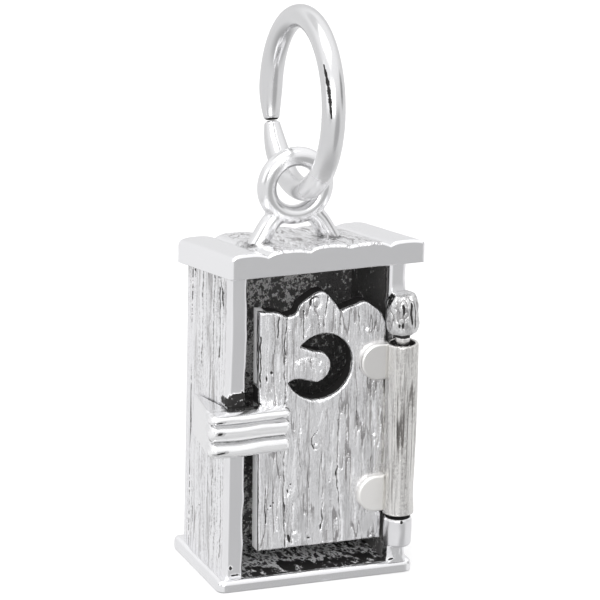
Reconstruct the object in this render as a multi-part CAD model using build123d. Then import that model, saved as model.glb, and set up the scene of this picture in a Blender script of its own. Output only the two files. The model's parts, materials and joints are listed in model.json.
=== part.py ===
"""Outhouse charm: a small cast-silver lean-to with a hinged plank door, a bail and a jump ring.

Frame, in millimetres: X to the right, Y to the back, Z up. The origin is on the underside of the
base plate, below the middle of the walls. The door is in the front face, towards -Y.
"""
import os
from math import cos, radians, sin

from build123d import *

# Walls
body_width = 6.98
body_depth = 4.66
front_height = 12.29
back_height = 11.41
wall_thickness = 0.55
jamb_width = 0.69

# Base plate, and how far it reaches past the walls
base_thickness = 0.47
base_overhang_left = 0.35
base_overhang_right = 0.48
base_overhang_front = 0.29
base_overhang_back = 0.31

# Roof boards: they run from front to back and each has a crowned top
roof_edge_thickness = 0.81
roof_crown = 0.19
roof_overhang_left = 0.18
roof_overhang_right = 0.52
roof_overhang_front = 0.51
roof_overhang_back = 0.66
roof_board_proportions = (1.47, 1.66, 1.56, 1.61, 1.38)

# Hinge: the door's barrel turns on a pin between two knuckles of the house
axis_inset = 0.21
axis_forward = 0.30
barrel_radius = 0.61
pin_radius = 0.275
pin_clearance = 0.05
pin_socket_depth = 0.40
barrel_mouth_radius = 0.47
barrel_mouth_depth = 0.38
barrel_top_gap = 0.40
barrel_bottom_gap = 0.15
web_thickness = 0.28
hinge_clearance = 0.07

# Upper knuckle, a faceted lump, and lower knuckle, a round one on a foot
knuckle_sides = 8
knuckle_radius = 0.53
upper_knuckle_drop = 1.78
upper_knuckle_waist = 1.15
upper_knuckle_bulge = 0.03
upper_knuckle_height = 1.52
upper_knuckle_top_radius = 0.46
lower_knuckle_height = 1.15
lower_knuckle_fillet = 0.14
foot_height = 0.73
foot_width = 0.80
foot_setback = 0.02

# Door
door_thickness = 0.70
door_bottom_gap = 0.93
door_top_gap = 0.86
door_latch_side_gap = 0.60
door_hinge_side_gap = 0.07
door_edge_to_axis = 0.55
door_lean = 0.12

# Where the door's boards meet, as shares of its width from the latch side
board_edge_left = 0.20
board_edge_right = 0.627

# Top outline of each board: share of the door's width, and drop from the door's highest point
left_board_top = ((0.120, 0.66), (0.0, 0.57))
centre_board_top = ((0.568, 0.41), (0.473, 0.0), (0.320, 0.38), (0.274, 0.75))
right_board_top = ((0.953, 1.03), (0.900, 0.80), (0.826, 0.56), (0.744, 0.65))
left_valley_drop = 0.87
right_valley_drop = 0.82
right_shoulder_drop = 1.45

# Crescent cut through the door, its centre placed from the door's middle and highest point
crescent_offset = -0.145
crescent_drop = 2.93
crescent_radius = 1.29
crescent_tip_upper = (-0.78, 0.85)
crescent_tip_lower = (-1.24, -0.53)
crescent_sweep = 75
tongue_radius = 0.61
tongue_offset = -0.18
tongue_root_lower = (-0.90, 0.18)

# Half-round hinge plates on the door's face
plate_thickness = 0.28
plate_reach = 1.06
upper_plate_height = 1.44
upper_plate_drop = 2.89
lower_plate_height = 1.44
lower_plate_rise = 2.83

# Latch: a block on the door with three ribs, and an arm that lies along the left wall
latch_rise = 5.13
latch_height = 1.70
latch_right_reach = 0.91
latch_left_reach = 1.00
latch_block_depth = 0.55
latch_clearance = 0.07
rib_depth = 0.35
rib_fillet = 0.14
rib_bands = {
    "bottom": (0.0, 0.60),
    "middle": (0.82, 1.30),
    "top": (1.33, 1.70),
}
arm_length = 3.25
arm_end_thickness = 0.16
arm_end_height = 1.62
arm_fall = 0.52

# Bail: a wire eye on two splayed legs, which stand on the roof
bail_x = -0.25
bail_y = -0.30
bail_rise = 2.28
eye_radius = 1.13
bail_wire_radius = 0.38
leg_start_angle = 45
leg_splay = 1.50

# Jump ring: round wire, a cut at the back
ring_radius = 3.20
ring_wire_radius = 0.44
ring_lean = 3.3
ring_cut_angle = 28
ring_cut_gap = 1.4

# Places that follow from the sizes above
left_x = -body_width / 2
right_x = body_width / 2
front_y = -body_depth / 2
back_y = body_depth / 2
roof_front_y = front_y - roof_overhang_front
roof_back_y = back_y + roof_overhang_back
roof_slope = (front_height - back_height) / body_depth

axis_x = right_x - axis_inset
axis_y = front_y - axis_forward
side_front_y = axis_y + barrel_radius + hinge_clearance
door_left = left_x + jamb_width + door_latch_side_gap
door_right = axis_x - door_edge_to_axis
door_width = door_right - door_left
door_back_y = front_y + door_thickness
door_bottom = base_thickness + door_bottom_gap
door_top = front_height - door_top_gap
upper_knuckle_bottom = door_top - upper_knuckle_drop
lower_knuckle_bottom = base_thickness + foot_height
lower_knuckle_top = lower_knuckle_bottom + lower_knuckle_height
barrel_bottom = lower_knuckle_top + barrel_bottom_gap
barrel_top = upper_knuckle_bottom - barrel_top_gap


def roof_underside(y):
    """Height of the underside of the roof at depth y."""
    return front_height - roof_slope * (y - front_y)


def door_point(share, drop):
    """Point (x, z) on the door, from its share of the width and its drop from the top."""
    return (door_left + share * door_width, door_top - drop)


def box_between(low, high):
    """Box between two opposite corners (x, y, z)."""
    size = [top - bottom for bottom, top in zip(low, high)]
    middle = [(top + bottom) / 2 for bottom, top in zip(low, high)]
    return Pos(*middle) * Box(*size)


def post(radius, bottom, top):
    """Upright cylinder on the hinge axis."""
    return Pos(axis_x, axis_y, bottom) * Cylinder(radius, top - bottom, align=(Align.CENTER, Align.CENTER, Align.MIN))


def under_roof(x_range, y_range, bottom):
    """Upright slab whose sloping top meets the underside of the roof."""
    low_y, high_y = y_range
    corners = [
        (low_y, bottom),
        (high_y, bottom),
        (high_y, roof_underside(high_y)),
        (low_y, roof_underside(low_y)),
    ]
    side = make_face(Plane.YZ * Polyline(corners, close=True))
    return Pos(x_range[0], 0, 0) * extrude(side, x_range[1] - x_range[0])


def facing_front(outline, back, depth):
    """Solid with a closed outline drawn in X and Z, from the plane y = back towards the front."""
    return Pos(0, back, 0) * extrude(make_face(Plane.XZ * outline), depth)


def make_base_plate():
    """Plate under the walls, which is also the floor inside."""
    low = (left_x - base_overhang_left, front_y - base_overhang_front, 0)
    high = (right_x + base_overhang_right, back_y + base_overhang_back, base_thickness)
    return box_between(low, high)


def make_side_walls():
    """Left and right walls, between the jambs and the back wall."""
    depth_range = (side_front_y, back_y - wall_thickness)
    left = under_roof((left_x, left_x + wall_thickness), depth_range, base_thickness)
    right = under_roof((right_x - wall_thickness, right_x), depth_range, base_thickness)
    return left, right - make_knuckle_lump()


def make_back_wall():
    """Back wall, over the full width."""
    return under_roof((left_x, right_x), (back_y - wall_thickness, back_y), base_thickness)


def make_jambs():
    """Left jamb at full height, and the short right jamb above the hinge."""
    depth_range = (front_y, side_front_y)
    left = under_roof((left_x, left_x + jamb_width), depth_range, base_thickness)
    right = under_roof((door_right + door_hinge_side_gap, right_x), depth_range, upper_knuckle_bottom)
    return left, right - make_knuckle_lump()


def make_roof_board(low_x, high_x):
    """One roof board with an upright front face and a crowned top."""
    bottom = roof_underside(roof_front_y)
    edge = bottom + roof_edge_thickness
    outline = Curve() + [
        Polyline([(low_x, edge), (low_x, bottom), (high_x, bottom), (high_x, edge)]),
        ThreePointArc((high_x, edge), ((low_x + high_x) / 2, edge + roof_crown), (low_x, edge)),
    ]
    front = Pos(0, roof_front_y, 0) * make_face(Plane.XZ * outline)
    run = Vector(0, roof_back_y - roof_front_y, roof_underside(roof_back_y) - roof_underside(roof_front_y))
    return extrude(front, run.length, dir=run.normalized())


def make_roof_boards():
    """All roof boards, from left to right."""
    full_width = body_width + roof_overhang_left + roof_overhang_right
    scale = full_width / sum(roof_board_proportions)
    boards = []
    low_x = left_x - roof_overhang_left
    for proportion in roof_board_proportions:
        high_x = low_x + proportion * scale
        boards.append(make_roof_board(low_x, high_x))
        low_x = high_x
    return boards


def make_knuckle_lump():
    """Faceted lump of the upper knuckle, not yet bored for the pin."""
    levels = (
        (0, knuckle_radius),
        (upper_knuckle_waist, barrel_radius + upper_knuckle_bulge),
        (upper_knuckle_height, upper_knuckle_top_radius),
    )
    rings = []
    for rise, radius in levels:
        ring = Pos(axis_x, axis_y, upper_knuckle_bottom + rise) * RegularPolygon(radius, knuckle_sides)
        rings.append(ring)
    return loft(rings, ruled=True)


def make_upper_knuckle():
    """Upper knuckle with the socket for the pin's upper end."""
    socket = post(pin_radius, upper_knuckle_bottom, upper_knuckle_bottom + pin_socket_depth)
    return make_knuckle_lump() - socket


def make_lower_knuckle():
    """Round knuckle that holds the pin's lower end."""
    drum = post(knuckle_radius, lower_knuckle_bottom, lower_knuckle_top)
    drum = fillet(drum.edges().filter_by(GeomType.CIRCLE), lower_knuckle_fillet)
    return drum - post(pin_radius, lower_knuckle_top - pin_socket_depth, lower_knuckle_top)


def make_hinge_foot():
    """Block on the base plate that carries the lower knuckle."""
    low = (axis_x - foot_width / 2, front_y - base_overhang_front + foot_setback, base_thickness)
    high = (axis_x + foot_width / 2, side_front_y, lower_knuckle_bottom)
    return box_between(low, high)


def make_hinge_pin():
    """Pin from one knuckle's socket to the other's."""
    return post(pin_radius, lower_knuckle_top - pin_socket_depth, upper_knuckle_bottom + pin_socket_depth)


def make_hinge_barrel():
    """Barrel on the door's edge, bored for the pin and opened out at its top."""
    web_low = (door_right, front_y, barrel_bottom)
    web_high = (axis_x, front_y + web_thickness, barrel_top)
    barrel = post(barrel_radius, barrel_bottom, barrel_top) + box_between(web_low, web_high)
    barrel -= post(pin_radius + pin_clearance, barrel_bottom, barrel_top)
    barrel -= post(barrel_mouth_radius, barrel_top - barrel_mouth_depth, barrel_top)
    return barrel


def make_crescent():
    """Crescent-shaped cutter, wider than the door is thick."""
    centre_x = (door_left + door_right) / 2 + crescent_offset
    centre_z = door_top - crescent_drop

    def at(offset):
        return (centre_x + offset[0], centre_z + offset[1])

    def rim(degrees, radius, shift=0.0):
        return (centre_x + shift + radius * cos(radians(degrees)), centre_z + radius * sin(radians(degrees)))

    tongue_top = rim(90, tongue_radius, tongue_offset)
    tongue_bottom = rim(-90, tongue_radius, tongue_offset)
    outline = Curve() + [
        ThreePointArc(at(crescent_tip_upper), rim(crescent_sweep, crescent_radius), rim(0, crescent_radius)),
        ThreePointArc(rim(0, crescent_radius), rim(-crescent_sweep, crescent_radius), at(crescent_tip_lower)),
        Line(at(crescent_tip_lower), (centre_x + tongue_root_lower[0], tongue_bottom[1] + tongue_root_lower[1])),
        Line((centre_x + tongue_root_lower[0], tongue_bottom[1] + tongue_root_lower[1]), tongue_bottom),
        ThreePointArc(tongue_bottom, rim(0, tongue_radius, tongue_offset), tongue_top),
        Line(tongue_top, at(crescent_tip_upper)),
    ]
    return facing_front(outline, door_back_y + hinge_clearance, door_thickness + 2 * hinge_clearance)


def make_door_boards():
    """Three boards that stand side by side, with the crescent cut through them."""
    seam_left = door_point(board_edge_left, left_valley_drop)
    seam_right = door_point(board_edge_right, right_valley_drop)
    shoulder = door_point(1, right_shoulder_drop)
    corner = door_point(*left_board_top[-1])
    leaning_corner = (corner[0] - door_lean, corner[1])
    left_outline = Curve() + [
        Polyline([leaning_corner, (door_left, door_bottom), (seam_left[0], door_bottom), seam_left]),
        ThreePointArc(seam_left, door_point(*left_board_top[0]), leaning_corner),
    ]
    centre_points = [door_point(*point) for point in centre_board_top]
    centre_outline = Curve() + [
        Polyline([seam_left, (seam_left[0], door_bottom), (seam_right[0], door_bottom), seam_right]),
        Spline([seam_right] + centre_points + [seam_left]),
    ]
    right_points = [door_point(*point) for point in right_board_top]
    right_outline = Curve() + [
        Polyline([seam_right, (seam_right[0], door_bottom), (door_right, door_bottom), shoulder]),
        Spline([shoulder] + right_points + [seam_right]),
    ]
    crescent = make_crescent()
    barrel_room = post(barrel_radius, barrel_bottom, barrel_top)
    outlines = (left_outline, centre_outline, right_outline)
    boards = [facing_front(outline, door_back_y, door_thickness) for outline in outlines]
    return [board - crescent - barrel_room for board in boards]


def make_hinge_plate(height, middle):
    """Half-round plate on the door's face, with its straight side against the barrel."""
    bottom = middle - height / 2
    top = middle + height / 2
    round_x = door_right - plate_reach + height / 2
    outline = Curve() + [
        Polyline([(round_x, bottom), (axis_x, bottom), (axis_x, top), (round_x, top)]),
        ThreePointArc((round_x, top), (door_right - plate_reach, middle), (round_x, bottom)),
    ]
    plate = facing_front(outline, front_y, plate_thickness)
    return plate - post(barrel_radius, bottom, top)


def make_hinge_plates():
    """Upper and lower hinge plates."""
    upper = make_hinge_plate(upper_plate_height, door_top - upper_plate_drop)
    lower = make_hinge_plate(lower_plate_height, base_thickness + lower_plate_rise)
    return upper, lower


latch_bottom = base_thickness + latch_rise
latch_top = latch_bottom + latch_height
latch_left = left_x - latch_left_reach
latch_right = door_left + latch_right_reach
latch_back_y = front_y - latch_clearance
latch_front_y = latch_back_y - latch_block_depth


def make_latch_body():
    """Block that crosses the left jamb, with a pad that joins it to the door."""
    block = box_between((latch_left, latch_front_y, latch_bottom), (latch_right, latch_back_y, latch_top))
    pad = box_between((door_left, latch_back_y, latch_bottom), (latch_right, front_y, latch_top))
    return block + pad


def make_latch_rib(band):
    """One rounded rib on the front of the latch."""
    low = (latch_left, latch_front_y - rib_depth, latch_bottom + band[0])
    high = (latch_right, latch_front_y, latch_bottom + band[1])
    rib = box_between(low, high)
    front = rib.faces().sort_by(Axis.Y)[0]
    return fillet(front.edges(), rib_fillet)


def make_latch_arm():
    """Smooth tapering arm behind the latch, along the outside of the left wall."""
    inner_x = left_x - latch_clearance
    end_y = latch_back_y + arm_length
    plan = [
        (latch_left, latch_back_y),
        (inner_x, latch_back_y),
        (inner_x, end_y),
        (inner_x - arm_end_thickness, end_y),
    ]
    wedge = extrude(make_face(Polyline(plan, close=True)), front_height)
    end_top = latch_top - arm_fall
    side = [
        (latch_back_y, latch_bottom),
        (end_y, end_top - arm_end_height),
        (end_y, end_top),
        (latch_back_y, latch_top),
    ]
    band = extrude(make_face(Plane.YZ * Polyline(side, close=True)), -body_width)
    return wedge & band


def roof_top(y):
    """Height of the valleys between the roof boards at depth y."""
    return roof_underside(y) + roof_edge_thickness


eye_centre = Vector(bail_x, bail_y, roof_top(bail_y) + bail_rise)


def make_bail_loop(roof_boards):
    """Upright wire eye on two splayed legs whose ends fit the roof."""
    bail = Pos(*eye_centre) * Rot(90, 0, 0) * Torus(eye_radius, bail_wire_radius)
    for side in (-1, 1):
        reach = eye_radius * cos(radians(leg_start_angle))
        start = Vector(bail_x + side * reach, bail_y, eye_centre.Z - eye_radius * sin(radians(leg_start_angle)))
        end = Vector(bail_x + side * leg_splay, bail_y, roof_top(bail_y) - bail_wire_radius)
        run = end - start
        leg_plane = Plane(origin=start, z_dir=run)
        bail += extrude(leg_plane * Circle(bail_wire_radius), run.length)
    for board in roof_boards:
        bail -= board
    return bail


def make_jump_ring():
    """Round wire ring through the bail's eye, standing up, with a narrow cut at its back."""
    section = Pos(0, ring_radius, 0) * Circle(ring_wire_radius)
    ring = revolve(section, Axis.X, revolution_arc=360 - ring_cut_gap)
    ring = Rot(ring_cut_gap / 2 - ring_cut_angle, 0, 0) * ring
    return Pos(*eye_centre) * Rot(0, ring_lean, 0) * Pos(0, 0, ring_radius) * ring


def make_nodes():
    """Every node of the charm by name."""
    left_wall, right_wall = make_side_walls()
    left_jamb, right_jamb = make_jambs()
    boards = make_door_boards()
    upper_plate, lower_plate = make_hinge_plates()
    roof_boards = make_roof_boards()
    nodes = {
        "base_plate": make_base_plate(),
        "left_wall": left_wall,
        "right_wall": right_wall,
        "back_wall": make_back_wall(),
        "left_jamb": left_jamb,
        "right_jamb": right_jamb,
        "hinge_knuckle_upper": make_upper_knuckle(),
        "hinge_knuckle_lower": make_lower_knuckle(),
        "hinge_foot": make_hinge_foot(),
        "hinge_pin": make_hinge_pin(),
        "door_board_left": boards[0],
        "door_board_centre": boards[1],
        "door_board_right": boards[2],
        "hinge_plate_upper": upper_plate,
        "hinge_plate_lower": lower_plate,
        "hinge_barrel": make_hinge_barrel(),
        "latch_body": make_latch_body(),
        "latch_arm": make_latch_arm(),
        "bail_loop": make_bail_loop(roof_boards),
        "jump_ring": make_jump_ring(),
    }
    for number, board in enumerate(roof_boards, start=1):
        nodes[f"roof_board_{number}"] = board
    for place, band in rib_bands.items():
        nodes[f"latch_rib_{place}"] = make_latch_rib(band)
    return nodes


os.makedirs("parts", exist_ok=True)
for name, solid in make_nodes().items():
    export_step(solid, f"parts/{name}.step")
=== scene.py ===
"""Silver outhouse charm: the visual model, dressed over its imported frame.

Sizes are in millimetres and become metres where a mesh is made. X runs to the right, Y to the
back and Z up, as in the frame.
"""
import json
import logging
from dataclasses import dataclass, field
from enum import Enum
from functools import cache
from math import atan2, ceil, cos, pi, radians, sin, sqrt
from typing import Callable, Iterator, Optional, Union

import bmesh
import bpy
import numpy as np
from mathutils import Matrix, Vector, geometry


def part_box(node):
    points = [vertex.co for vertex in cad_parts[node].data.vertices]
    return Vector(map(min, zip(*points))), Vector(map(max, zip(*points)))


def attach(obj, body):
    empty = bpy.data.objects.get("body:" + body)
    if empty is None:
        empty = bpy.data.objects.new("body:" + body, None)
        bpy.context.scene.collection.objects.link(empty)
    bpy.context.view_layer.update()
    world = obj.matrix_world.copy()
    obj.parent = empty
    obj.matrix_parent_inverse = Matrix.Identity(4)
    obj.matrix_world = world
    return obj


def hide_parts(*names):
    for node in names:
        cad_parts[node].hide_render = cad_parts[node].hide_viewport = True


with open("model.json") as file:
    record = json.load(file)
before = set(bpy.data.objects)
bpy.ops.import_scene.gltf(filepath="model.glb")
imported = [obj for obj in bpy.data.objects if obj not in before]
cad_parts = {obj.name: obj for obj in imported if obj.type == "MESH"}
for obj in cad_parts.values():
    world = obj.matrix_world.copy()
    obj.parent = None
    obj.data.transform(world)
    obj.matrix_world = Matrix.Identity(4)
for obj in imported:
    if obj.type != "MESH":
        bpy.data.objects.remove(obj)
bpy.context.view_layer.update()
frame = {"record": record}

log = logging.getLogger("charm")

METRES = 0.001

Array = np.ndarray
Point = tuple[float, float]
Place = tuple[float, float, float]
Colour = tuple[float, float, float, float]
Faces = list[tuple[int, ...]]
Number = Union[float, "Socket"]
Field = Callable[..., Array]
Surface = Callable[[Array, Array], tuple[Array, Array]]


class Body(Enum):
    """The bodies that a piece can ride on."""

    HOUSE = "house"
    DOOR = "door"
    RING = "ring"


class Slot(Enum):
    """The record's material slots."""

    PLANK = "plank_silver"
    SATIN = "satin_silver"
    POLISHED = "polished_silver"


class GrainRun(Enum):
    """The way that the grain runs: how fast noise changes along X, Y and Z, as a share."""

    UPRIGHT = (1.0, 1.0, 0.11)
    TO_BACK = (1.0, 0.09, 1.0)
    ACROSS = (0.10, 1.0, 1.0)
    KNOBBED = (1.0, 1.0, 0.6)
    STRAIGHT = (1.0, 1.0, 0.045)
    EVEN = (1.0, 1.0, 1.0)
    TALL = (1.0, 1.0, 0.45)
    FLECKED = (1.0, 1.0, 0.8)
    COMBED = (1.0, 0.25, 1.0)


# ---------------------------------------------------------------------------------------------
# Shader nodes
# ---------------------------------------------------------------------------------------------


class Socket:
    """An output socket of a node. Arithmetic on it adds Math nodes."""

    def __init__(self, tree: "ShaderTree", socket: bpy.types.NodeSocket) -> None:
        """Wraps one output socket of a tree."""
        self.tree = tree
        self.socket = socket

    def _math(self, operation: str, first: Number, second: Number) -> "Socket":
        """Output of a Math node on two values."""
        return self.tree.node("Math", {0: first, 1: second}, operation=operation)

    def __add__(self, other: Number) -> "Socket":
        """Sum."""
        return self._math("ADD", self, other)

    def __radd__(self, other: Number) -> "Socket":
        """Sum, with the number first."""
        return self._math("ADD", other, self)

    def __sub__(self, other: Number) -> "Socket":
        """Difference."""
        return self._math("SUBTRACT", self, other)

    def __rsub__(self, other: Number) -> "Socket":
        """Difference, with the number first."""
        return self._math("SUBTRACT", other, self)

    def __mul__(self, other: Number) -> "Socket":
        """Product."""
        return self._math("MULTIPLY", self, other)

    def folded(self, times: float) -> "Socket":
        """Goes up and down between 0 and 1 as the value grows."""
        return self._math("PINGPONG", self * times, 0.5) * 2.0

    def highest(self, other: Number) -> "Socket":
        """The higher of this and another value."""
        return self._math("MAXIMUM", self, other)


class ShaderTree:
    """The node tree of a material or of the world."""

    def __init__(self, owner: Union[bpy.types.Material, bpy.types.World]) -> None:
        """Takes over the owner's node tree and empties it.

        Args:
            owner: The material or the world.
        """
        owner.use_nodes = True
        self.tree = owner.node_tree
        self.tree.nodes.clear()

    def node(
        self,
        kind: str,
        inputs: Optional[dict[Union[int, str], object]] = None,
        output: Union[int, str] = 0,
        **settings: object,
    ) -> Socket:
        """Adds a node.

        Args:
            kind: The node's type, without ShaderNode in front.
            inputs: Values or links of its sockets, by name or number.
            output: The output that is wanted, by name or number.
            settings: Properties of the node, which are set first.

        Returns:
            That output.
        """
        made = self.tree.nodes.new(f"ShaderNode{kind}")
        for name, value in settings.items():
            setattr(made, name, value)
        for name, value in (inputs or {}).items():
            if isinstance(value, Socket):
                self.tree.links.new(value.socket, made.inputs[name])
            else:
                made.inputs[name].default_value = value
        return Socket(self, made.outputs[output] if len(made.outputs) else None)

    def step(self, value: Number, low: float, high: float) -> Socket:
        """Smooth step from 0 at low to 1 at high."""
        limits = {"Value": value, "From Min": low, "From Max": high}
        return self.node("MapRange", limits, interpolation_type="SMOOTHSTEP")

    def blend(self, share: Number, first: object, second: object) -> Socket:
        """Colour between the first, at share 0, and the second, at share 1."""
        inputs = {0: share, 6: first, 7: second}
        return self.node("Mix", inputs, 2, data_type="RGBA", clamp_factor=True)

    def noise(self, run: GrainRun, per_mm: float, detail: float, roughness: float) -> Socket:
        """Noise between 0 and 1, which stays on the piece.

        Args:
            run: The way that its grain runs.
            per_mm: Steps per millimetre.
            detail: Number of layers.
            roughness: Share of each finer layer.

        Returns:
            The noise value.
        """
        rate = tuple(share * per_mm / METRES for share in run.value)
        inputs = {0: self.node("TexCoord", output="Object"), 1: rate}
        where = self.node("VectorMath", inputs, operation="MULTIPLY")
        inputs = {"Vector": where, "Scale": 1.0, "Detail": detail, "Roughness": roughness}
        return self.node("TexNoise", inputs, "Fac")

    def bump(self, height: Number, depth: float) -> Socket:
        """Normal of a height between 0 and 1 that spans some millimetres."""
        return self.node("Bump", {"Height": height, "Strength": 1.0, "Distance": depth * METRES})


# ---------------------------------------------------------------------------------------------
# Finishes
# ---------------------------------------------------------------------------------------------

# Black of the patina; through the tarnish attribute it also paints shade on the latch ribs, the latch arm
# and the hinge plate edges, and a dark reflection on the jump ring.
BLACK_PATINA_AND_SHADE = (0.026, 0.025, 0.025, 1.0)


def shaded(colour: Colour, share: float) -> Colour:
    """A darker colour, at a share of the light."""
    return tuple(part * share for part in colour[:3]) + (1.0,)


@dataclass(frozen=True)
class Finish:
    """A finish of the metal, which follows the tarnish stored on the mesh."""

    name: str

    def coat(self, shader: ShaderTree, tarnish: Socket) -> dict[str, object]:
        """Inputs of the metal's shader, which each finish works out in its own way."""
        raise NotImplementedError

    def make(self) -> bpy.types.Material:
        """Builds the material.

        Returns:
            The material.
        """
        material = bpy.data.materials.new(self.name)
        shader = ShaderTree(material)
        # The tarnish attribute holds the patina and, on some pieces, painted shade and a painted dark
        # reflection.
        tarnish = shader.node("Attribute", output="Fac", attribute_name="tarnish")
        metal = shader.node("BsdfPrincipled", self.coat(shader, tarnish))
        shader.node("OutputMaterial", {"Surface": metal})
        return material


@cache
def material_of(finish: Finish) -> bpy.types.Material:
    """The material of a finish, made once."""
    return finish.make()


@dataclass(frozen=True)
class PlankSilver(Finish):
    """Cast silver with wood grain: polished at tarnish -1, plain at 0 and black at 1."""

    name: str = "plank_silver"
    run: GrainRun = GrainRun.UPRIGHT
    bright: Colour = (0.94, 0.94, 0.95, 1.0)
    dull: Colour = (0.31, 0.30, 0.30, 1.0)
    grain_depth: float = 0.060
    streaks: float = 0.84
    rate: float = 1.0
    lines: float = 4.0
    line_width: float = 0.26

    def coat(self, shader: ShaderTree, tarnish: Socket) -> dict[str, object]:
        """Grain with dark lines cut into it and a dull haze between them.

        Args:
            shader: The material's node tree.
            tarnish: The tarnish stored on the mesh.

        Returns:
            Inputs of the metal's shader.
        """
        fine = shader.noise(self.run, 12.0 * self.rate, 4.0, 0.62)
        broad = shader.noise(self.run, 3.6 * self.rate, 3.0, 0.5)
        rings = shader.noise(self.run, 2.3 * self.rate, 2.0, 0.45)
        dust = shader.noise(GrainRun.EVEN, 9.0, 3.0, 0.6)
        patch = shader.noise(GrainRun.TALL, 0.9, 2.0, 0.5)
        rough = shader.step(tarnish, -0.9, -0.1)
        worked = shader.step(patch + (broad - 0.5) * 0.5, 0.40, 0.58)
        between_lines = shader.step((rings + dust * 0.04).folded(self.lines), 0.04, self.line_width)
        cut = (1.0 - between_lines) * worked
        haze = shader.step(0.58 - fine, 0.02, 0.16) * shader.step(broad + dust * 0.5, 0.64, 0.88)
        line = cut.highest(haze * 0.55)
        film = shader.blend(line * rough * self.streaks, self.bright, self.dull)
        black = shader.step(tarnish + (dust - 0.5) * 0.55, 0.38, 0.66)
        covered = black - shader.step(dust, 0.60, 0.70) * black * 0.25
        height = (fine * 0.45 + broad * 0.12 + dust * 0.30 - cut * 0.36) * (0.06 + rough * 0.94)
        return {
            "Base Color": shader.blend(covered, film, BLACK_PATINA_AND_SHADE),
            "Metallic": 1.0 - covered,
            "Roughness": 0.16 + broad * 0.12 + black * 0.22,
            "Specular IOR Level": 0.12,
            "Normal": shader.bump(height, self.grain_depth),
        }


@dataclass(frozen=True)
class SatinSilver(Finish):
    """Plain filed silver: brushed at tarnish 0, black at 1, dusty at -0.2 and, with flecks, at 0.4."""

    name: str = "satin_silver"
    run: GrainRun = GrainRun.UPRIGHT
    bright: Colour = (0.93, 0.93, 0.94, 1.0)
    roughness: float = 0.30
    brush_depth: float = 0.0012
    speckle: float = 9.0

    def coat(self, shader: ShaderTree, tarnish: Socket) -> dict[str, object]:
        """Brushed metal with a slow cloud, which blackens in flecks.

        Args:
            shader: The material's node tree.
            tarnish: The tarnish stored on the mesh.

        Returns:
            Inputs of the metal's shader.
        """
        brush = shader.noise(self.run, 16.0, 3.0, 0.6)
        cloud = shader.noise(GrainRun.EVEN, 1.1, 2.0, 0.5)
        dust = shader.noise(GrainRun.EVEN, self.speckle, 3.0, 0.66)
        black = shader.step(tarnish + (dust - 0.5) * 0.9, 0.42, 0.58)
        dusty = shader.step(0.0 - tarnish, 0.0, 0.2).highest(shader.step(tarnish, 0.30, 0.36))
        film = shader.blend(cloud, self.bright, shaded(self.bright, 0.94))
        return {
            "Base Color": shader.blend(black, film, BLACK_PATINA_AND_SHADE),
            "Metallic": 1.0 - black.highest(dusty),
            "Roughness": self.roughness + (cloud - 0.5) * 0.12 + dusty * 0.15 + black * 0.2,
            "Specular IOR Level": 0.12,
            "Normal": shader.bump(brush * 0.6 + cloud * 0.4, self.brush_depth),
        }


@dataclass(frozen=True)
class PolishedSilver(Finish):
    """Polished silver with a soft haze: milky at tarnish -0.5, clear at 0 and black at 1."""

    name: str = "polished_silver"
    bright: Colour = (0.88, 0.88, 0.885, 1.0)
    roughness: float = 0.10
    wave_depth: float = 0.004

    def coat(self, shader: ShaderTree, tarnish: Socket) -> dict[str, object]:
        """Mirror-like metal with slow waves and fine hairs.

        Args:
            shader: The material's node tree.
            tarnish: The tarnish stored on the mesh.

        Returns:
            Inputs of the metal's shader.
        """
        wave = shader.noise(GrainRun.EVEN, 1.3, 2.0, 0.5)
        hair = shader.noise(GrainRun.COMBED, 9.0, 3.0, 0.6)
        dust = shader.noise(GrainRun.EVEN, 9.0, 3.0, 0.6)
        black = shader.step(tarnish + (dust - 0.5) * 0.4, 0.38, 0.62)
        milky = shader.step(0.0 - tarnish, 0.0, 0.5) * 0.85
        film = shader.blend(wave, self.bright, shaded(self.bright, 0.96))
        return {
            "Base Color": shader.blend(black, film, BLACK_PATINA_AND_SHADE),
            "Metallic": 1.0 - black.highest(milky),
            "Roughness": self.roughness + hair * 0.08 + black * 0.25,
            "Specular IOR Level": 0.08,
            "Normal": shader.bump(wave * 0.9 + hair * 0.1, self.wave_depth),
        }


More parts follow.
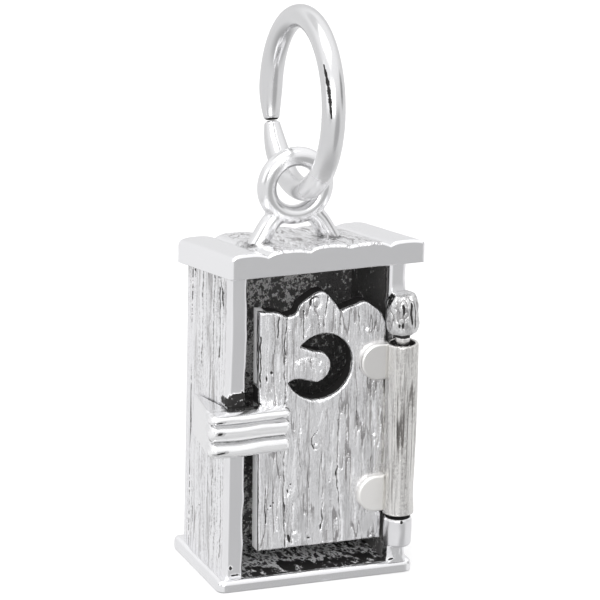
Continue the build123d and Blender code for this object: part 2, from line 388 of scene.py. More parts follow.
@dataclass(frozen=True)
class OxidisedSilver(Finish):
    """Blackened silver inside the house: black at tarnish 1, mottled at 0.4, evenly grey below 0."""

    name: str = "oxidised_silver"
    worn: Colour = (0.93, 0.92, 0.92, 1.0)
    even_grey: Colour = (0.68, 0.67, 0.67, 1.0)
    black: Colour = (0.125, 0.122, 0.122, 1.0)
    crinkle_depth: float = 0.17

    def coat(self, shader: ShaderTree, tarnish: Socket) -> dict[str, object]:
        """Black film, worn back to grey in small flecks.

        Args:
            shader: The material's node tree.
            tarnish: The tarnish stored on the mesh.

        Returns:
            Inputs of the metal's shader.
        """
        fleck = shader.noise(GrainRun.FLECKED, 7.5, 3.0, 0.68)
        patch = shader.noise(GrainRun.FLECKED, 2.0, 2.0, 0.5)
        fine = shader.noise(GrainRun.EVEN, 17.0, 2.0, 0.5)
        wear = fleck + (patch - 0.5) * 0.50 + (fine - 0.5) * 0.30 - tarnish * 0.30
        bare = shader.step(wear, 0.34, 0.45)
        even = shader.step(0.0 - tarnish, 0.0, 0.6)
        spark = shader.step(fine + (fleck - 0.5) * 0.5, 0.45, 0.56)
        height = (fleck * 0.65 + fine * 0.35) * (1.0 - even * 0.9)
        rubbed = shader.blend(spark, shaded(self.worn, 0.60), self.worn)
        mottled = shader.blend(bare, self.black, rubbed)
        return {
            "Base Color": shader.blend(even, mottled, self.even_grey),
            "Metallic": bare * 0.08 * (1.0 - even),
            "Roughness": 0.50 - bare * 0.10,
            "Specular IOR Level": 0.35,
            "Normal": shader.bump(height, self.crinkle_depth),
        }


# ---------------------------------------------------------------------------------------------
# Noise and marks, from which the surfaces are made
# ---------------------------------------------------------------------------------------------


def smooth(values: Array, low: float, high: float) -> Array:
    """Smooth step from 0 at low to 1 at high."""
    share = np.clip((values - low) / (high - low), 0.0, 1.0)
    return share * share * (3 - 2 * share)


def hump(values: Array, middle: float, width: float) -> Array:
    """Bell curve, 1 at the middle."""
    return np.exp(-(((values - middle) / width) ** 2))


def even(value: float) -> Field:
    """A field with one value everywhere."""
    return lambda across, *others: np.full_like(across, value)


def circle(parts: int) -> Array:
    """Angles that divide a circle."""
    return np.linspace(0, 2 * pi, parts, endpoint=False)


@dataclass(frozen=True)
class Unevenness:
    """Seeded smooth noise over two coordinates."""

    seed: int
    cells: int = 128

    def at(self, across: Array, along: Array) -> Array:
        """Noise value.

        Args:
            across: First coordinate, in cells.
            along: Second coordinate, in cells.

        Returns:
            Values between -1 and 1.
        """
        lattice = np.random.default_rng(self.seed).uniform(-1.0, 1.0, (self.cells, self.cells))
        column = np.floor(across)
        row = np.floor(along)
        share = smooth(across - column, 0.0, 1.0)
        rise = smooth(along - row, 0.0, 1.0)
        left, right = [(column.astype(int) + step) % self.cells for step in (0, 1)]
        rows = [(row.astype(int) + step) % self.cells for step in (0, 1)]
        near, far = [lattice[left, line] * (1 - share) + lattice[right, line] * share for line in rows]
        return near * (1 - rise) + far * rise

    def layered(self, across: Array, along: Array, layers: int = 3) -> Array:
        """Noise with finer layers on top.

        Args:
            across: First coordinate, in cells.
            along: Second coordinate, in cells.
            layers: Number of layers, each half as strong and twice as fine.

        Returns:
            Values around 0.
        """
        total = np.zeros_like(across)
        for layer in range(layers):
            shift = 17.3 * layer
            total += self.at(across * 2**layer + shift, along * 2**layer + shift) * 0.5**layer
        return total


def segment_distance(across: Array, along: Array, start: Point, end: Point) -> Array:
    """Distance to a straight piece of line.

    Args:
        across: First coordinates of the points.
        along: Second coordinates of the points.
        start: One end of the line.
        end: Its other end.

    Returns:
        The distances.
    """
    run = (end[0] - start[0], end[1] - start[1])
    length = run[0] ** 2 + run[1] ** 2 + 1e-12
    share = np.clip(((across - start[0]) * run[0] + (along - start[1]) * run[1]) / length, 0.0, 1.0)
    return np.hypot(across - start[0] - share * run[0], along - start[1] - share * run[1])


@dataclass
class Relief:
    """Points of a face, with the height and the tarnish that marks change."""

    across: Array
    along: Array
    height: Array
    tarnish: Array

    def from_centre(self, centre: Point) -> tuple[Array, Array]:
        """Distances from a centre along both coordinates."""
        return self.across - centre[0], self.along - centre[1]

    def darken(self, film: Array) -> None:
        """Tarnishes the points as far as a film does."""
        np.maximum(self.tarnish, film, out=self.tarnish)


@dataclass(frozen=True)
class Crack:
    """A line cut into the surface, through some points."""

    points: tuple[Point, ...]
    width: float = 0.035
    depth: float = 0.045
    tarnish: float = 0.6

    def apply(self, relief: Relief) -> None:
        """Cuts the line, which wavers and fades in places, and darkens it.

        Args:
            relief: What is changed.
        """
        first, top = self.points[0]
        along = relief.along
        waver = 0.022 * np.sin(along * 8.3 + first * 9.0) * np.sin(along * 3.1 + first * 4.0)
        bent = relief.across + waver
        nearest = np.full_like(bent, 9.0)
        for start, end in zip(self.points, self.points[1:]):
            nearest = np.minimum(nearest, segment_distance(bent, along, start, end))
        length = top - self.points[-1][1]
        beat = 0.75 + 0.35 * np.sin(along * 7.1 + length * 3.0) * np.sin(along * 2.9 + first)
        mark = hump(nearest, 0.0, self.width)
        relief.height -= self.depth * mark * beat
        relief.darken(self.tarnish * mark * (0.93 + 0.12 * beat))


@dataclass(frozen=True)
class Pit:
    """A small oval hollow, blackened inside."""

    centre: Point
    half_width: float = 0.04
    half_height: float = 0.06
    tilt: float = 0.0
    depth: float = 0.05
    tarnish: float = 1.1

    def apply(self, relief: Relief) -> None:
        """Presses the hollow and darkens it.

        Args:
            relief: What is changed.
        """
        turn = radians(self.tilt)
        side, rise = relief.from_centre(self.centre)
        first = side * cos(turn) + rise * sin(turn)
        second = rise * cos(turn) - side * sin(turn)
        mark = np.exp(-((first / self.half_width) ** 2) - (second / self.half_height) ** 2)
        relief.height -= self.depth * mark
        relief.darken(self.tarnish * mark)


@dataclass(frozen=True)
class Nail:
    """A round nail head or knot: a ring cut round a small dome."""

    centre: Point
    radius: float = 0.12
    dome: float = 0.035
    ring: float = 0.04
    tarnish: float = 0.7

    def apply(self, relief: Relief) -> None:
        """Raises the dome, cuts its ring and darkens the ring on one side.

        Args:
            relief: What is changed.
        """
        side, rise = relief.from_centre(self.centre)
        reach = np.hypot(side, rise) / self.radius
        cut = hump(reach, 1.0, 0.22)
        relief.height += self.dome * np.clip(1 - reach**2, 0, 1) - self.ring * cut
        one_side = 0.55 + 0.45 * np.clip((rise - side) / (self.radius * 1.2), -1, 1)
        relief.darken(self.tarnish * cut * one_side)

    def pull(self, across: Array, along: Array) -> Array:
        """How far the grain is drawn aside round the nail.

        Args:
            across: First coordinate.
            along: Second coordinate.

        Returns:
            The distances.
        """
        side = across - self.centre[0]
        upright = ((along - self.centre[1]) / (self.radius * 3.2)) ** 2
        return side * np.exp(-((side / (self.radius * 2)) ** 2) - upright) * 0.75


@dataclass(frozen=True)
class Swell:
    """A soft raised or pressed place, where the grain fades."""

    centre: Point
    half_width: float
    half_height: float
    rise: float = 0.03

    def reach(self, across: Array, along: Array) -> Array:
        """How strongly the place is felt, from 0 to 1."""
        first = ((across - self.centre[0]) / self.half_width) ** 2
        return np.exp(-first - ((along - self.centre[1]) / self.half_height) ** 2)

    def apply(self, relief: Relief) -> None:
        """Raises the height of a relief."""
        relief.height += self.rise * self.reach(relief.across, relief.along)


@dataclass(frozen=True)
class Stain:
    """A ragged black patch."""

    centre: Point
    half_width: float
    half_height: float
    tarnish: float = 1.2
    ragged: float = 0.35
    seed: int = 3

    def apply(self, relief: Relief) -> None:
        """Darkens the patch.

        Args:
            relief: What is changed.
        """
        side, rise = relief.from_centre(self.centre)
        edge = Unevenness(self.seed).layered(relief.across * 3.0, relief.along * 3.0) * self.ragged
        away = np.hypot(side / self.half_width, rise / self.half_height)
        relief.darken(self.tarnish * (1 - smooth(away + edge, 0.85, 1.1)))


Mark = Union[Crack, Pit, Nail, Swell, Stain]


@dataclass(frozen=True)
class PlankFace:
    """Face of planks: long grain, splits and swells, and the marks cut into it."""

    seed: int
    marks: tuple[Mark, ...] = ()
    grain: float = 0.020
    split: float = 0.030
    swell: float = 0.030
    tarnish: float = 0.45
    rate: float = 1.0
    polish: float = 0.75

    def __call__(self, across: Array, along: Array) -> tuple[Array, Array]:
        """Height and tarnish.

        Args:
            across: Coordinate across the grain.
            along: Coordinate along the grain.

        Returns:
            Height in millimetres, and tarnish from -1 to 1.
        """
        noise = Unevenness(self.seed)
        bent = across + 0.10 * noise.at(across * 0.7 + 3, along * 0.45)
        bent = bent + 0.035 * noise.at(across * 2.3 + 71, along * 1.3)
        calm = np.ones_like(across)
        for mark in self.marks:
            if isinstance(mark, Nail):
                bent = bent - mark.pull(across, along)
            if isinstance(mark, Swell):
                calm = calm * (1 - 0.8 * mark.reach(across, along))
        bent = bent * self.rate
        line = noise.layered(bent * 4.6, along * 0.45 + 9, 2)
        knobs = noise.at(bent * 3.1 + 5, along * 1.9)
        height = self.grain * calm * (line + 0.6 * knobs)
        height += self.swell * noise.layered(bent * 1.5 + 31, along * 0.6, 2)
        ridge = 1 - np.abs(noise.at(bent * 2.3 + 55, along * 0.22)) / 0.12
        open_here = smooth(noise.at(across * 1.1 + 7, along * 0.5 + 3), -0.15, 0.35)
        split = np.clip(ridge, 0, 1) * open_here * calm
        height -= self.split * split
        tarnish = self.tarnish * split * split
        for mark in self.marks:
            mark.apply(Relief(across, along, height, tarnish))
        return height, tarnish - self.polish * (1 - calm)


@dataclass(frozen=True)
class FiledFace:
    """Plain filed face: almost flat, with a slow wave and a few marks."""

    seed: int
    marks: tuple[Mark, ...] = ()
    wave: float = 0.012
    tarnish: float = 0.0

    def __call__(self, across: Array, along: Array) -> tuple[Array, Array]:
        """Height in millimetres and tarnish, at places given by their two coordinates.

        Args:
            across: First coordinate.
            along: Second coordinate.

        Returns:
            Height in millimetres, and tarnish.
        """
        height = self.wave * Unevenness(self.seed).layered(across * 0.9 + 5, along * 0.5, 2)
        tarnish = np.full_like(across, self.tarnish)
        for mark in self.marks:
            mark.apply(Relief(across, along, height, tarnish))
        return height, tarnish


@dataclass(frozen=True)
class InnerFace:
    """Blackened inner face, crinkled; wear thins the black from one place to another."""

    seed: int
    wear: Field
    crinkle: float = 0.03

    def __call__(self, across: Array, along: Array) -> tuple[Array, Array]:
        """Height in millimetres and tarnish, at places given by their two coordinates.

        Args:
            across: First coordinate.
            along: Second coordinate.

        Returns:
            Height in millimetres, and tarnish.
        """
        bare = self.wear(across, along)
        crinkles = Unevenness(self.seed).layered(across * 3.1, along * 2.3, 3)
        return self.crinkle * crinkles * (0.35 + 0.65 * bare), 1 - bare


# ---------------------------------------------------------------------------------------------
# Meshes
# ---------------------------------------------------------------------------------------------


@dataclass(frozen=True)
class Box:
    """Box round a CAD node, in millimetres."""

    left: float
    front: float
    bottom: float
    right: float
    back: float
    top: float


def box_of(node: str) -> Box:
    """Box round a CAD node, read from the frame."""
    low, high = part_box(node)
    return Box(*(float(value) / METRES for value in (*low, *high)))


def joint_place(name: str) -> Array:
    """A point on a joint's axis, in millimetres."""
    joints = {joint["name"]: joint for joint in frame["record"]["behaviour"]["joints"]}
    return np.array(joints[name]["pos_m"]) / METRES


def show(name: str, data: bpy.types.ID) -> bpy.types.Object:
    """Puts a mesh, lamp or camera into the scene.

    Args:
        name: The object's name.
        data: What it shows.

    Returns:
        The object.
    """
    made = bpy.data.objects.new(name, data)
    bpy.context.scene.collection.objects.link(made)
    return made


class Casting:
    """Points, faces, tarnish and finishes of one piece while it is shaped, in millimetres."""

    def __init__(self, name: str) -> None:
        """Starts an empty piece.

        Args:
            name: The piece's name.
        """
        self.name = name
        self.points: list[Array] = []
        self.faces: Faces = []
        self.looks: list[int] = []
        self.tarnish: list[Array] = []

    def add(self, points: Array, faces: Faces, tarnish: Array, look: int = 0) -> None:
        """Adds a patch of faces with its own points.

        Args:
            points: Points of the patch.
            faces: Faces, as numbers of those points.
            tarnish: Tarnish of each point.
            look: Which of the piece's finishes the faces have.
        """
        before = sum(len(known) for known in self.points)
        self.points.append(points)
        self.tarnish.append(tarnish)
        self.faces.extend(tuple(corner + before for corner in face) for face in faces)
        self.looks.extend([look] * len(faces))

    def finish(self, body: Body, slot: Slot, finishes: tuple[Finish, ...], *nodes: str) -> bpy.types.Object:
        """Turns the patches into a piece of the charm.

        Args:
            body: The body it rides on.
            slot: The record's slot; not used.
            finishes: Its finishes, in the order of the looks.
            nodes: The CAD nodes that it stands for.

        Returns:
            The piece.
        """
        mesh = bpy.data.meshes.new(self.name)
        mesh.from_pydata((np.vstack(self.points) * METRES).tolist(), [], self.faces)
        mesh.polygons.foreach_set("material_index", self.looks)
        film = mesh.attributes.new("tarnish", "FLOAT", "POINT")
        film.data.foreach_set("value", np.concatenate(self.tarnish).astype(np.float32))
        shaped = bmesh.new()
        shaped.from_mesh(mesh)
        bmesh.ops.recalc_face_normals(shaped, faces=shaped.faces)
        shaped.to_mesh(mesh)
        shaped.free()
        mesh.polygons.foreach_set("use_smooth", [True] * len(mesh.polygons))
        mesh.update()
        for finish in finishes:
            mesh.materials.append(material_of(finish))
        piece = show(self.name, mesh)
        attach(piece, body.value)
        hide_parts(*nodes)
        return piece


def facing(axis: int, level: float, way: float = 1.0) -> Field:
    """Places points on a face that looks along X, Y or Z.

    Args:
        axis: 0 for X, 1 for Y, 2 for Z.
        level: Where the face stands on that axis.
        way: 1 if it looks up the axis, -1 if it looks down.

    Returns:
        What turns a point's two coordinates and its height above the face into a place.
    """

    def place(across: Array, along: Array, height: Array) -> Array:
        """Places, as one row for each point.

        Args:
            across: First coordinate.
            along: Second coordinate.
            height: Height above the face.

        Returns:
            The places, one row for each point.
        """
        columns = [across, along]
        columns.insert(axis, level + way * height)
        return np.stack(columns, axis=1)

    return place


def sides_of(loops: list[Array]) -> Iterator[tuple[Array, Array]]:
    """Both ends of every side of some loops."""
    return ((start, end) for loop in loops for start, end in zip(loop, np.roll(loop, -1, axis=0)))


def spread(loop: Array, step: float) -> Array:
    """Adds points to a loop, so that no side is longer than a step.

    Args:
        loop: The loop's points.
        step: The longest side.

    Returns:
        The points.
    """
    made = []
    for start, end in sides_of([loop]):
        parts = max(1, ceil(float(np.hypot(*(end - start))) / step))
        made.extend(start + (end - start) * part / parts for part in range(parts))
    return np.array(made)


def arc(centre: Point, radius: float, start: float, end: float, parts: int) -> list[Point]:
    """Points on an arc.

    Args:
        centre: Centre of the arc.
        radius: Its radius.
        start: Where it starts, in degrees.
        end: Where it ends, in degrees.
        parts: How many pieces it is divided into.

    Returns:
        The points, both ends among them.
    """
    turns = [radians(start + (end - start) * part / parts) for part in range(parts + 1)]
    return [(centre[0] + radius * cos(turn), centre[1] + radius * sin(turn)) for turn in turns]


def rim_point(centre: Point, radius: float, degrees: float) -> Point:
    """Point on a circle at an angle."""
    return (centre[0] + radius * cos(radians(degrees)), centre[1] + radius * sin(radians(degrees)))


def bend(start: Point, middle: Point, end: Point, parts: int) -> list[Point]:
    """Points on the arc through three points.

    Args:
        start: Where it starts.
        middle: A point on the way.
        end: Where it ends.
        parts: How many pieces it is divided into.

    Returns:
        The points, both ends among them.
    """
    first, second, third = complex(*start), complex(*middle), complex(*end)
    share = (third - first) / (second - first)
    centre = (second - first) * (share - abs(share) ** 2) / (2j * share.imag) + first
    reach = abs(first - centre)
    opening = atan2((first - centre).imag, (first - centre).real)
    turned_by = [(point - centre) / (first - centre) for point in (second, third)]
    halfway, sweep = [atan2(turn.imag, turn.real) for turn in turned_by]
    if sweep * halfway < 0 or abs(halfway) > abs(sweep):
        sweep -= 2 * pi if sweep > 0 else -2 * pi
    turns = [opening + sweep * part / parts for part in range(parts + 1)]
    return [(centre.real + reach * cos(turn), centre.imag + reach * sin(turn)) for turn in turns]


def through(points: list[Point], parts: int = 10) -> list[Point]:
    """Smooth curve through some points.

    Args:
        points: The points.
        parts: How many pieces each stretch is divided into.

    Returns:
        Points on the curve, both ends among them.
    """
    known = [np.array(point, float) for point in points]
    padded = [2 * known[0] - known[1], *known, 2 * known[-1] - known[-2]]
    made = []
    for before, start, end, after in zip(padded, padded[1:], padded[2:], padded[3:]):
        for share in [part / parts for part in range(parts)]:
            value = 2 * start + (end - before) * share
            value = value + (2 * before - 5 * start + 4 * end - after) * share**2
            value = value + (3 * start - before - 3 * end + after) * share**3
            made.append(tuple((value / 2).tolist()))
    return [*made, tuple(known[-1].tolist())]


def rounded(corners: list[Point], radius: float, parts: int = 5) -> list[Point]:
    """Closed outline with its corners rounded.

    Args:
        corners: The corners.
        radius: Radius of the rounding.
        parts: How many pieces each corner is divided into.

    Returns:
        The points of the outline.
    """
    made = []
    for number, corner in enumerate(corners):
        here = np.array(corner, float)
        before = np.array(corners[number - 1], float) - here
        after = np.array(corners[(number + 1) % len(corners)], float) - here
        start = here + before / np.hypot(*before) * radius
        end = here + after / np.hypot(*after) * radius
        for share in [part / parts for part in range(parts + 1)]:
            point = start * (1 - share) ** 2 + here * 2 * share * (1 - share) + end * share**2
            made.append(tuple(point.tolist()))
    return made


def quads(rows: int, count: int) -> Faces:
    """Faces between rows of points that go round.

    Args:
        rows: How many rows there are.
        count: How many points each row has.

    Returns:
        The faces, each as near, next near, next far and far corner.
    """
    corners = [(corner, (corner + 1) % count) for corner in range(count)]
    starts = [(row * count, row * count + count) for row in range(rows - 1)]
    return [
        (near + here, near + following, far + following, far + here)
        for near, far in starts
        for here, following in corners
    ]


@dataclass
class Slab:
    """Flat casting with rounded edges: an outline with holes, a worked face and a back."""

    outline: list[Point]
    thickness: float
    edge: float = 0.07
    back_edge: float = 0.0
    steps: Point = (0.05, 0.08)
    holes: list[list[Point]] = field(default_factory=list)
    crown: Optional[Field] = None
    wobble: float = 0.008
    seed: int = 1

    def _loops(self) -> list[Array]:
        """Outline anticlockwise and holes clockwise, with enough points.

        Returns:
            The loops, each as an array of points.
        """
        loops = []
        for number, line in enumerate([self.outline, *self.holes]):
            loop = np.array(line, float)
            turning = sum(start[0] * end[1] - end[0] * start[1] for start, end in sides_of([loop]))
            if (turning > 0) != (number == 0):
                loop = loop[::-1]
            loops.append(spread(loop, max(self.steps)))
        return loops

    @staticmethod
    def _inward(loop: Array) -> Array:
        """Direction into the metal at each point of a loop, longer at corners.

        Args:
            loop: The loop's points.

        Returns:
            The directions.
        """
        before = loop - np.roll(loop, 1, axis=0)
        after = np.roll(loop, -1, axis=0) - loop
        before /= np.hypot(before[:, 0], before[:, 1])[:, None]
        after /= np.hypot(after[:, 0], after[:, 1])[:, None]
        mean = before + after
        mean /= np.maximum(np.hypot(mean[:, 0], mean[:, 1]), 0.3)[:, None]
        left = np.stack((-mean[:, 1], mean[:, 0]), axis=1)
        square = np.stack((-after[:, 1], after[:, 0]), axis=1)
        return left / np.maximum(np.sum(left * square, axis=1), 0.6)[:, None]

    @staticmethod
    def _inside(points: Array, loops: list[Array]) -> Array:
        """Which points lie in the metal that some loops bound.

        Args:
            points: The points.
            loops: The loops.

        Returns:
            True for each that does.
        """
        odd = np.zeros(len(points), bool)
        for start, end in sides_of(loops):
            if start[1] != end[1]:
                between = (points[:, 1] >= start[1]) != (points[:, 1] >= end[1])
                reach = (end[0] - start[0]) * (points[:, 1] - start[1]) / (end[1] - start[1]) + start[0]
                odd ^= between & (points[:, 0] < reach)
        return odd

    @staticmethod
    def _to_edge(points: Array, loops: list[Array]) -> Array:
        """Distance from each point to the nearest loop.

        Args:
            points: The points.
            loops: The loops.

        Returns:
            The distances.
        """
        nearest = np.full(len(points), 99.0)
        for start, end in sides_of(loops):
            away = segment_distance(points[:, 0], points[:, 1], tuple(start), tuple(end))
            nearest = np.minimum(nearest, away)
        return nearest

    def _seeds(self, loops: list[Array]) -> list[Array]:
        """Points that the sheet is divided at: rows beside each loop, then a grid between.

        Args:
            loops: The outline and the holes.

        Returns:
            The points, in arrays.
        """
        seeds = []
        for loop in loops:
            inward = self._inward(loop)
            for share in (0.13, 0.5, 1.0):
                row = loop + inward * self.edge * share
                near = self._to_edge(row, loops)
                seeds.append(row[(near > self.edge * share * 0.8) & self._inside(row, loops)])
        low, high = np.vstack(loops).min(axis=0), np.vstack(loops).max(axis=0)
        starts = low + np.array(self.steps) / 2
        columns, rows = [np.arange(starts[way], high[way], self.steps[way]) for way in (0, 1)]
        grid = np.array([(column, row) for row in rows for column in columns])
        grid = grid[self._inside(grid, loops)]
        return [*seeds, grid[self._to_edge(grid, loops) > self.edge + min(self.steps) * 0.4]]

    def _sheet(self, loops: list[Array]) -> tuple[Array, Faces, list[Array]]:
        """Divides the outline into small triangles.

        Args:
            loops: The outline and the holes.

        Returns:
            The points, the triangles, and the numbers of each loop's points.
        """
        starts = [sum(len(known) for known in loops[:number]) for number in range(len(loops))]
        sides = [
            (first + corner, first + (corner + 1) % len(loop))
            for first, loop in zip(starts, loops)
            for corner in range(len(loop))
        ]
        points = [Vector(point) for point in np.vstack([*loops, *self._seeds(loops)])]
        made = geometry.delaunay_2d_cdt(points, sides, [], 1, 1e-7, True)
        corners = np.array([tuple(vertex) for vertex in made[0]])
        triangles = np.array(made[2])
        triangles = triangles[self._inside(corners[triangles].mean(axis=1), loops)]
        place_of = {original: number for number, originals in enumerate(made[3]) for original in originals}
        rims = [
            np.array([place_of[first + corner] for corner in range(len(loop))])
            for first, loop in zip(starts, loops)
        ]
        return corners, [tuple(triangle) for triangle in triangles.tolist()], rims

    @staticmethod
    def _drop(away: Array, radius: float) -> Array:
        """How far an edge of some radius falls at a distance from the edge."""
        inner = np.clip(radius - away, 0, radius)
        return radius - np.sqrt(np.maximum(radius**2 - inner**2, 0)) if radius else np.zeros_like(away)

    def build(
        self,
        casting: Casting,
        place: Field,
        front: Surface,
        back: Surface,
        side: Field = even(0.0),
        looks: tuple[int, int, int] = (0, 0, 0),
    ) -> None:
        """Adds the slab to a casting.

        Args:
            casting: The casting.
            place: Turns the two coordinates and the height above the face into a place.
            front: The worked face.
            back: The face behind.
            side: Tarnish on the edges, from the coordinates, the depth share and the loop's number.
            looks: Finishes of the face, the edges and the back.
        """
        loops = self._loops()
        points, faces, rims = self._sheet(loops)
        away = self._to_edge(points, loops)
        across, along = points[:, 0], points[:, 1]
        height, tarnish = front(across, along)
        top = height * smooth(away, 0.0, self.edge * 1.4 + 1e-6)
        top = (self.crown(across, along) + top if self.crown else top) - self._drop(away, self.edge)
        under, under_tarnish = back(across, along)
        under_fade = smooth(away, 0.0, self.back_edge * 1.4 + 0.05)
        bottom = -self.thickness - under * under_fade + self._drop(away, self.back_edge)
        casting.add(place(across, along, top), faces, tarnish, looks[0])
        casting.add(place(across, along, bottom), [face[::-1] for face in faces], under_tarnish, looks[2])
        for number, (loop, rim) in enumerate(zip(loops, rims)):
            inward = self._inward(loop)
            length = np.cumsum(np.hypot(*(np.roll(loop, -1, axis=0) - loop).T))
            levels = max(3, ceil(float(np.max(top[rim] - bottom[rim])) / 0.12))
            rows = []
            film = []
            for share in [level / levels for level in range(levels + 1)]:
                height = top[rim] + (bottom[rim] - top[rim]) * share
                waves = Unevenness(self.seed).layered(length * 2.2, height * 2.2)
                line = loop - inward * (self.wobble * sin(pi * share) * waves)[:, None]
                rows.append(place(line[:, 0], line[:, 1], height))
                film.append(side(loop[:, 0], loop[:, 1], np.full(len(loop), share), number))
            skin = quads(len(rows), len(loop))
            walls = [(near, far, next_far, next_near) for near, next_near, next_far, far in skin]
            casting.add(np.vstack(rows), walls, np.concatenate(film), looks[1])


def loft(casting: Casting, sections: Array, tarnish: Array, caps: bool = True) -> None:
    """Adds a skin over closed sections.

    Args:
        casting: The casting.
        sections: Sections, as an array of sections by points by three.
        tarnish: Tarnish, as an array of sections by points.
        caps: Whether the two ends are closed.
    """
    rows, count = sections.shape[:2]
    faces = quads(rows, count)
    points = [sections.reshape(-1, 3)]
    film = [tarnish.reshape(-1)]
    if caps:
        for row, order in ((0, 1), (rows - 1, -1)):
            centre = rows * count + len(points) - 1
            points.append(sections[row].mean(axis=0)[None, :])
            film.append(np.array([tarnish[row].mean()]))
            for corner in range(count):
                pair = (row * count + corner, row * count + (corner + 1) % count)[::order]
                faces.append((centre, *pair[::-1]))
    casting.add(np.vstack(points), faces, np.concatenate(film))


def turned(axis: Point, profile: list[Point], parts: int, shape: Optional[Field] = None) -> Array:
    """Sections of a turned piece on an upright axis.

    Args:
        axis: X and Y of the axis.
        profile: Radius and height of each section.
        parts: How many points go round.
        shape: Changes the radius, from the radius, the angle and the height.

    Returns:
        Sections, as an array of sections by points by three.
    """
    turns = circle(parts)
    sections = []
    for radius, height in profile:
        reach, level = np.full(parts, radius), np.full(parts, height)
        reach = shape(reach, turns, level) if shape else reach
        spots = (axis[0] + reach * np.cos(turns), axis[1] + reach * np.sin(turns), level)
        sections.append(np.stack(spots, axis=1))
    return np.array(sections)


# ---------------------------------------------------------------------------------------------
# Walls
# ---------------------------------------------------------------------------------------------

# Straight splits of the left wall: Y, top, foot, width and tarnish.
LONG_SPLITS = (
    (1.92, 11.9, 9.6, 0.050, 0.45),
    (1.60, 11.6, 5.5, 0.060, 0.42),
    (0.80, 11.9, 4.6, 0.085, 0.60),
    (0.70, 4.20, 1.2, 0.080, 0.50),
    (0.38, 11.8, 8.8, 0.060, 0.50),
    (0.30, 7.60, 2.4, 0.050, 0.45),
    (-0.04, 11.9, 9.8, 0.060, 0.50),
    (-0.14, 8.80, 3.0, 0.060, 0.42),
    (-0.48, 11.9, 7.4, 0.080, 0.60),
    (-0.60, 6.00, 1.6, 0.080, 0.58),
    (-0.80, 11.8, 8.0, 0.060, 0.52),
    (-0.92, 5.40, 0.9, 0.070, 0.56),
    (-1.18, 11.6, 8.9, 0.090, 0.72),
    (-1.30, 8.20, 4.4, 0.060, 0.50),
    (-1.46, 11.9, 6.4, 0.060, 0.52),
    (-1.52, 4.60, 1.0, 0.080, 0.58),
    (-1.78, 11.6, 8.6, 0.050, 0.48),
    (-1.80, 6.20, 0.8, 0.060, 0.48),
)
FRONT_JOINT = ((0.74, 11.9), (0.78, 9.2), (0.55, 7.9), (0.50, 6.3), (0.42, 3.4), (0.48, 2.0), (0.5, 0.6))
MIDDLE_JOINT = ((-0.20, 12.0), (-0.38, 9.3), (-0.36, 7.6), (-0.72, 4.4), (-0.8, 2.2), (-0.8, 0.7))
LEFT_WALL_MARKS: tuple[Mark, ...] = (
    Crack(FRONT_JOINT, 0.07, 0.055, 0.42),
    Crack(MIDDLE_JOINT, 0.05, 0.045, 0.32),
    Crack(((1.68, 11.7), (1.66, 10.6), (1.58, 9.7)), 0.07, 0.035, 0.35),
    Crack(((-1.16, 12.1), (-1.42, 11.5), (-1.50, 10.7)), 0.045, 0.05, 0.95),
    Crack(((-1.56, 11.2), (-1.50, 10.3), (-1.58, 9.0)), 0.035, 0.04, 0.6),
    Crack(((-0.60, 9.9), (-0.66, 9.1), (-0.64, 8.2)), 0.04, 0.04, 0.7),
    Crack(((-1.22, 9.9), (-1.28, 9.1), (-1.25, 8.2)), 0.035, 0.04, 0.7),
    Crack(((-0.92, 11.5), (-0.95, 10.0), (-1.02, 8.4)), 0.04, 0.035, 0.45),
    Crack(((-1.80, 12.0), (-1.74, 10.2), (-1.78, 8.0)), 0.035, 0.035, 0.35),
    Crack(((-1.26, 4.9), (-1.30, 3.6), (-1.22, 2.4)), 0.035, 0.04, 0.6),
    Crack(((-1.58, 4.9), (-1.60, 3.0), (-1.68, 1.2)), 0.035, 0.04, 0.5),
    Crack(((1.48, 2.0), (1.46, 1.4)), 0.05, 0.04, 0.8),
    Crack(((2.0, 6.5), (1.9, 4.2), (1.96, 2.2)), 0.05, 0.03, 0.25),
    *(
        Crack(((side, top), (side - 0.05, (top + foot) / 2), (side - 0.01, foot)), width, 0.05, film)
        for side, top, foot, width, film in LONG_SPLITS
    ),
    Swell((-0.2, 6.3), 1.5, 1.1, 0.0),
    Stain((-1.78, 7.40), 0.26, 0.14, 1.2, 0.3, 8),
    Pit((1.62, 11.42), 0.16, 0.06, 8, 0.03, 1.2),
    Pit((-1.05, 11.98), 0.10, 0.07, 0, 0.03, 1.2),
    Pit((-1.53, 11.45), 0.05, 0.12, 0, 0.05, 1.0),
    Pit((-1.26, 10.02), 0.04, 0.12, 0, 0.05, 0.9),
)
RIGHT_WALL_MARKS: tuple[Mark, ...] = (
    Crack(((-0.85, 12.0), (-0.80, 9.0), (-0.90, 6.0), (-0.82, 3.0), (-0.86, 0.6)), 0.06, 0.055, 0.42),
    Crack(((0.42, 12.0), (0.50, 8.0), (0.40, 5.0), (0.46, 0.6)), 0.06, 0.05, 0.40),
    Crack(((1.55, 11.6), (1.48, 9.0), (1.56, 6.4)), 0.05, 0.035, 0.35),
    Crack(((-1.40, 9.2), (-1.46, 7.2), (-1.38, 5.6)), 0.04, 0.04, 0.7),
    Crack(((0.95, 5.2), (1.02, 3.4), (0.96, 1.6)), 0.04, 0.04, 0.6),
    Crack(((-0.30, 10.8), (-0.24, 9.2), (-0.30, 8.0)), 0.04, 0.035, 0.6),
    Nail((-1.45, 11.1), 0.10),
    Nail((0.02, 11.3), 0.10),
    Nail((0.95, 1.1), 0.10),
    Nail((-0.2, 4.1), 0.13),
)
BACK_NAILS = (
    (-2.75, 10.6),
    (-1.35, 10.5),
    (0.05, 10.6),
    (1.45, 11.0),
    (2.8, 10.5),
    (-1.35, 1.1),
    (0.1, 1.2),
)
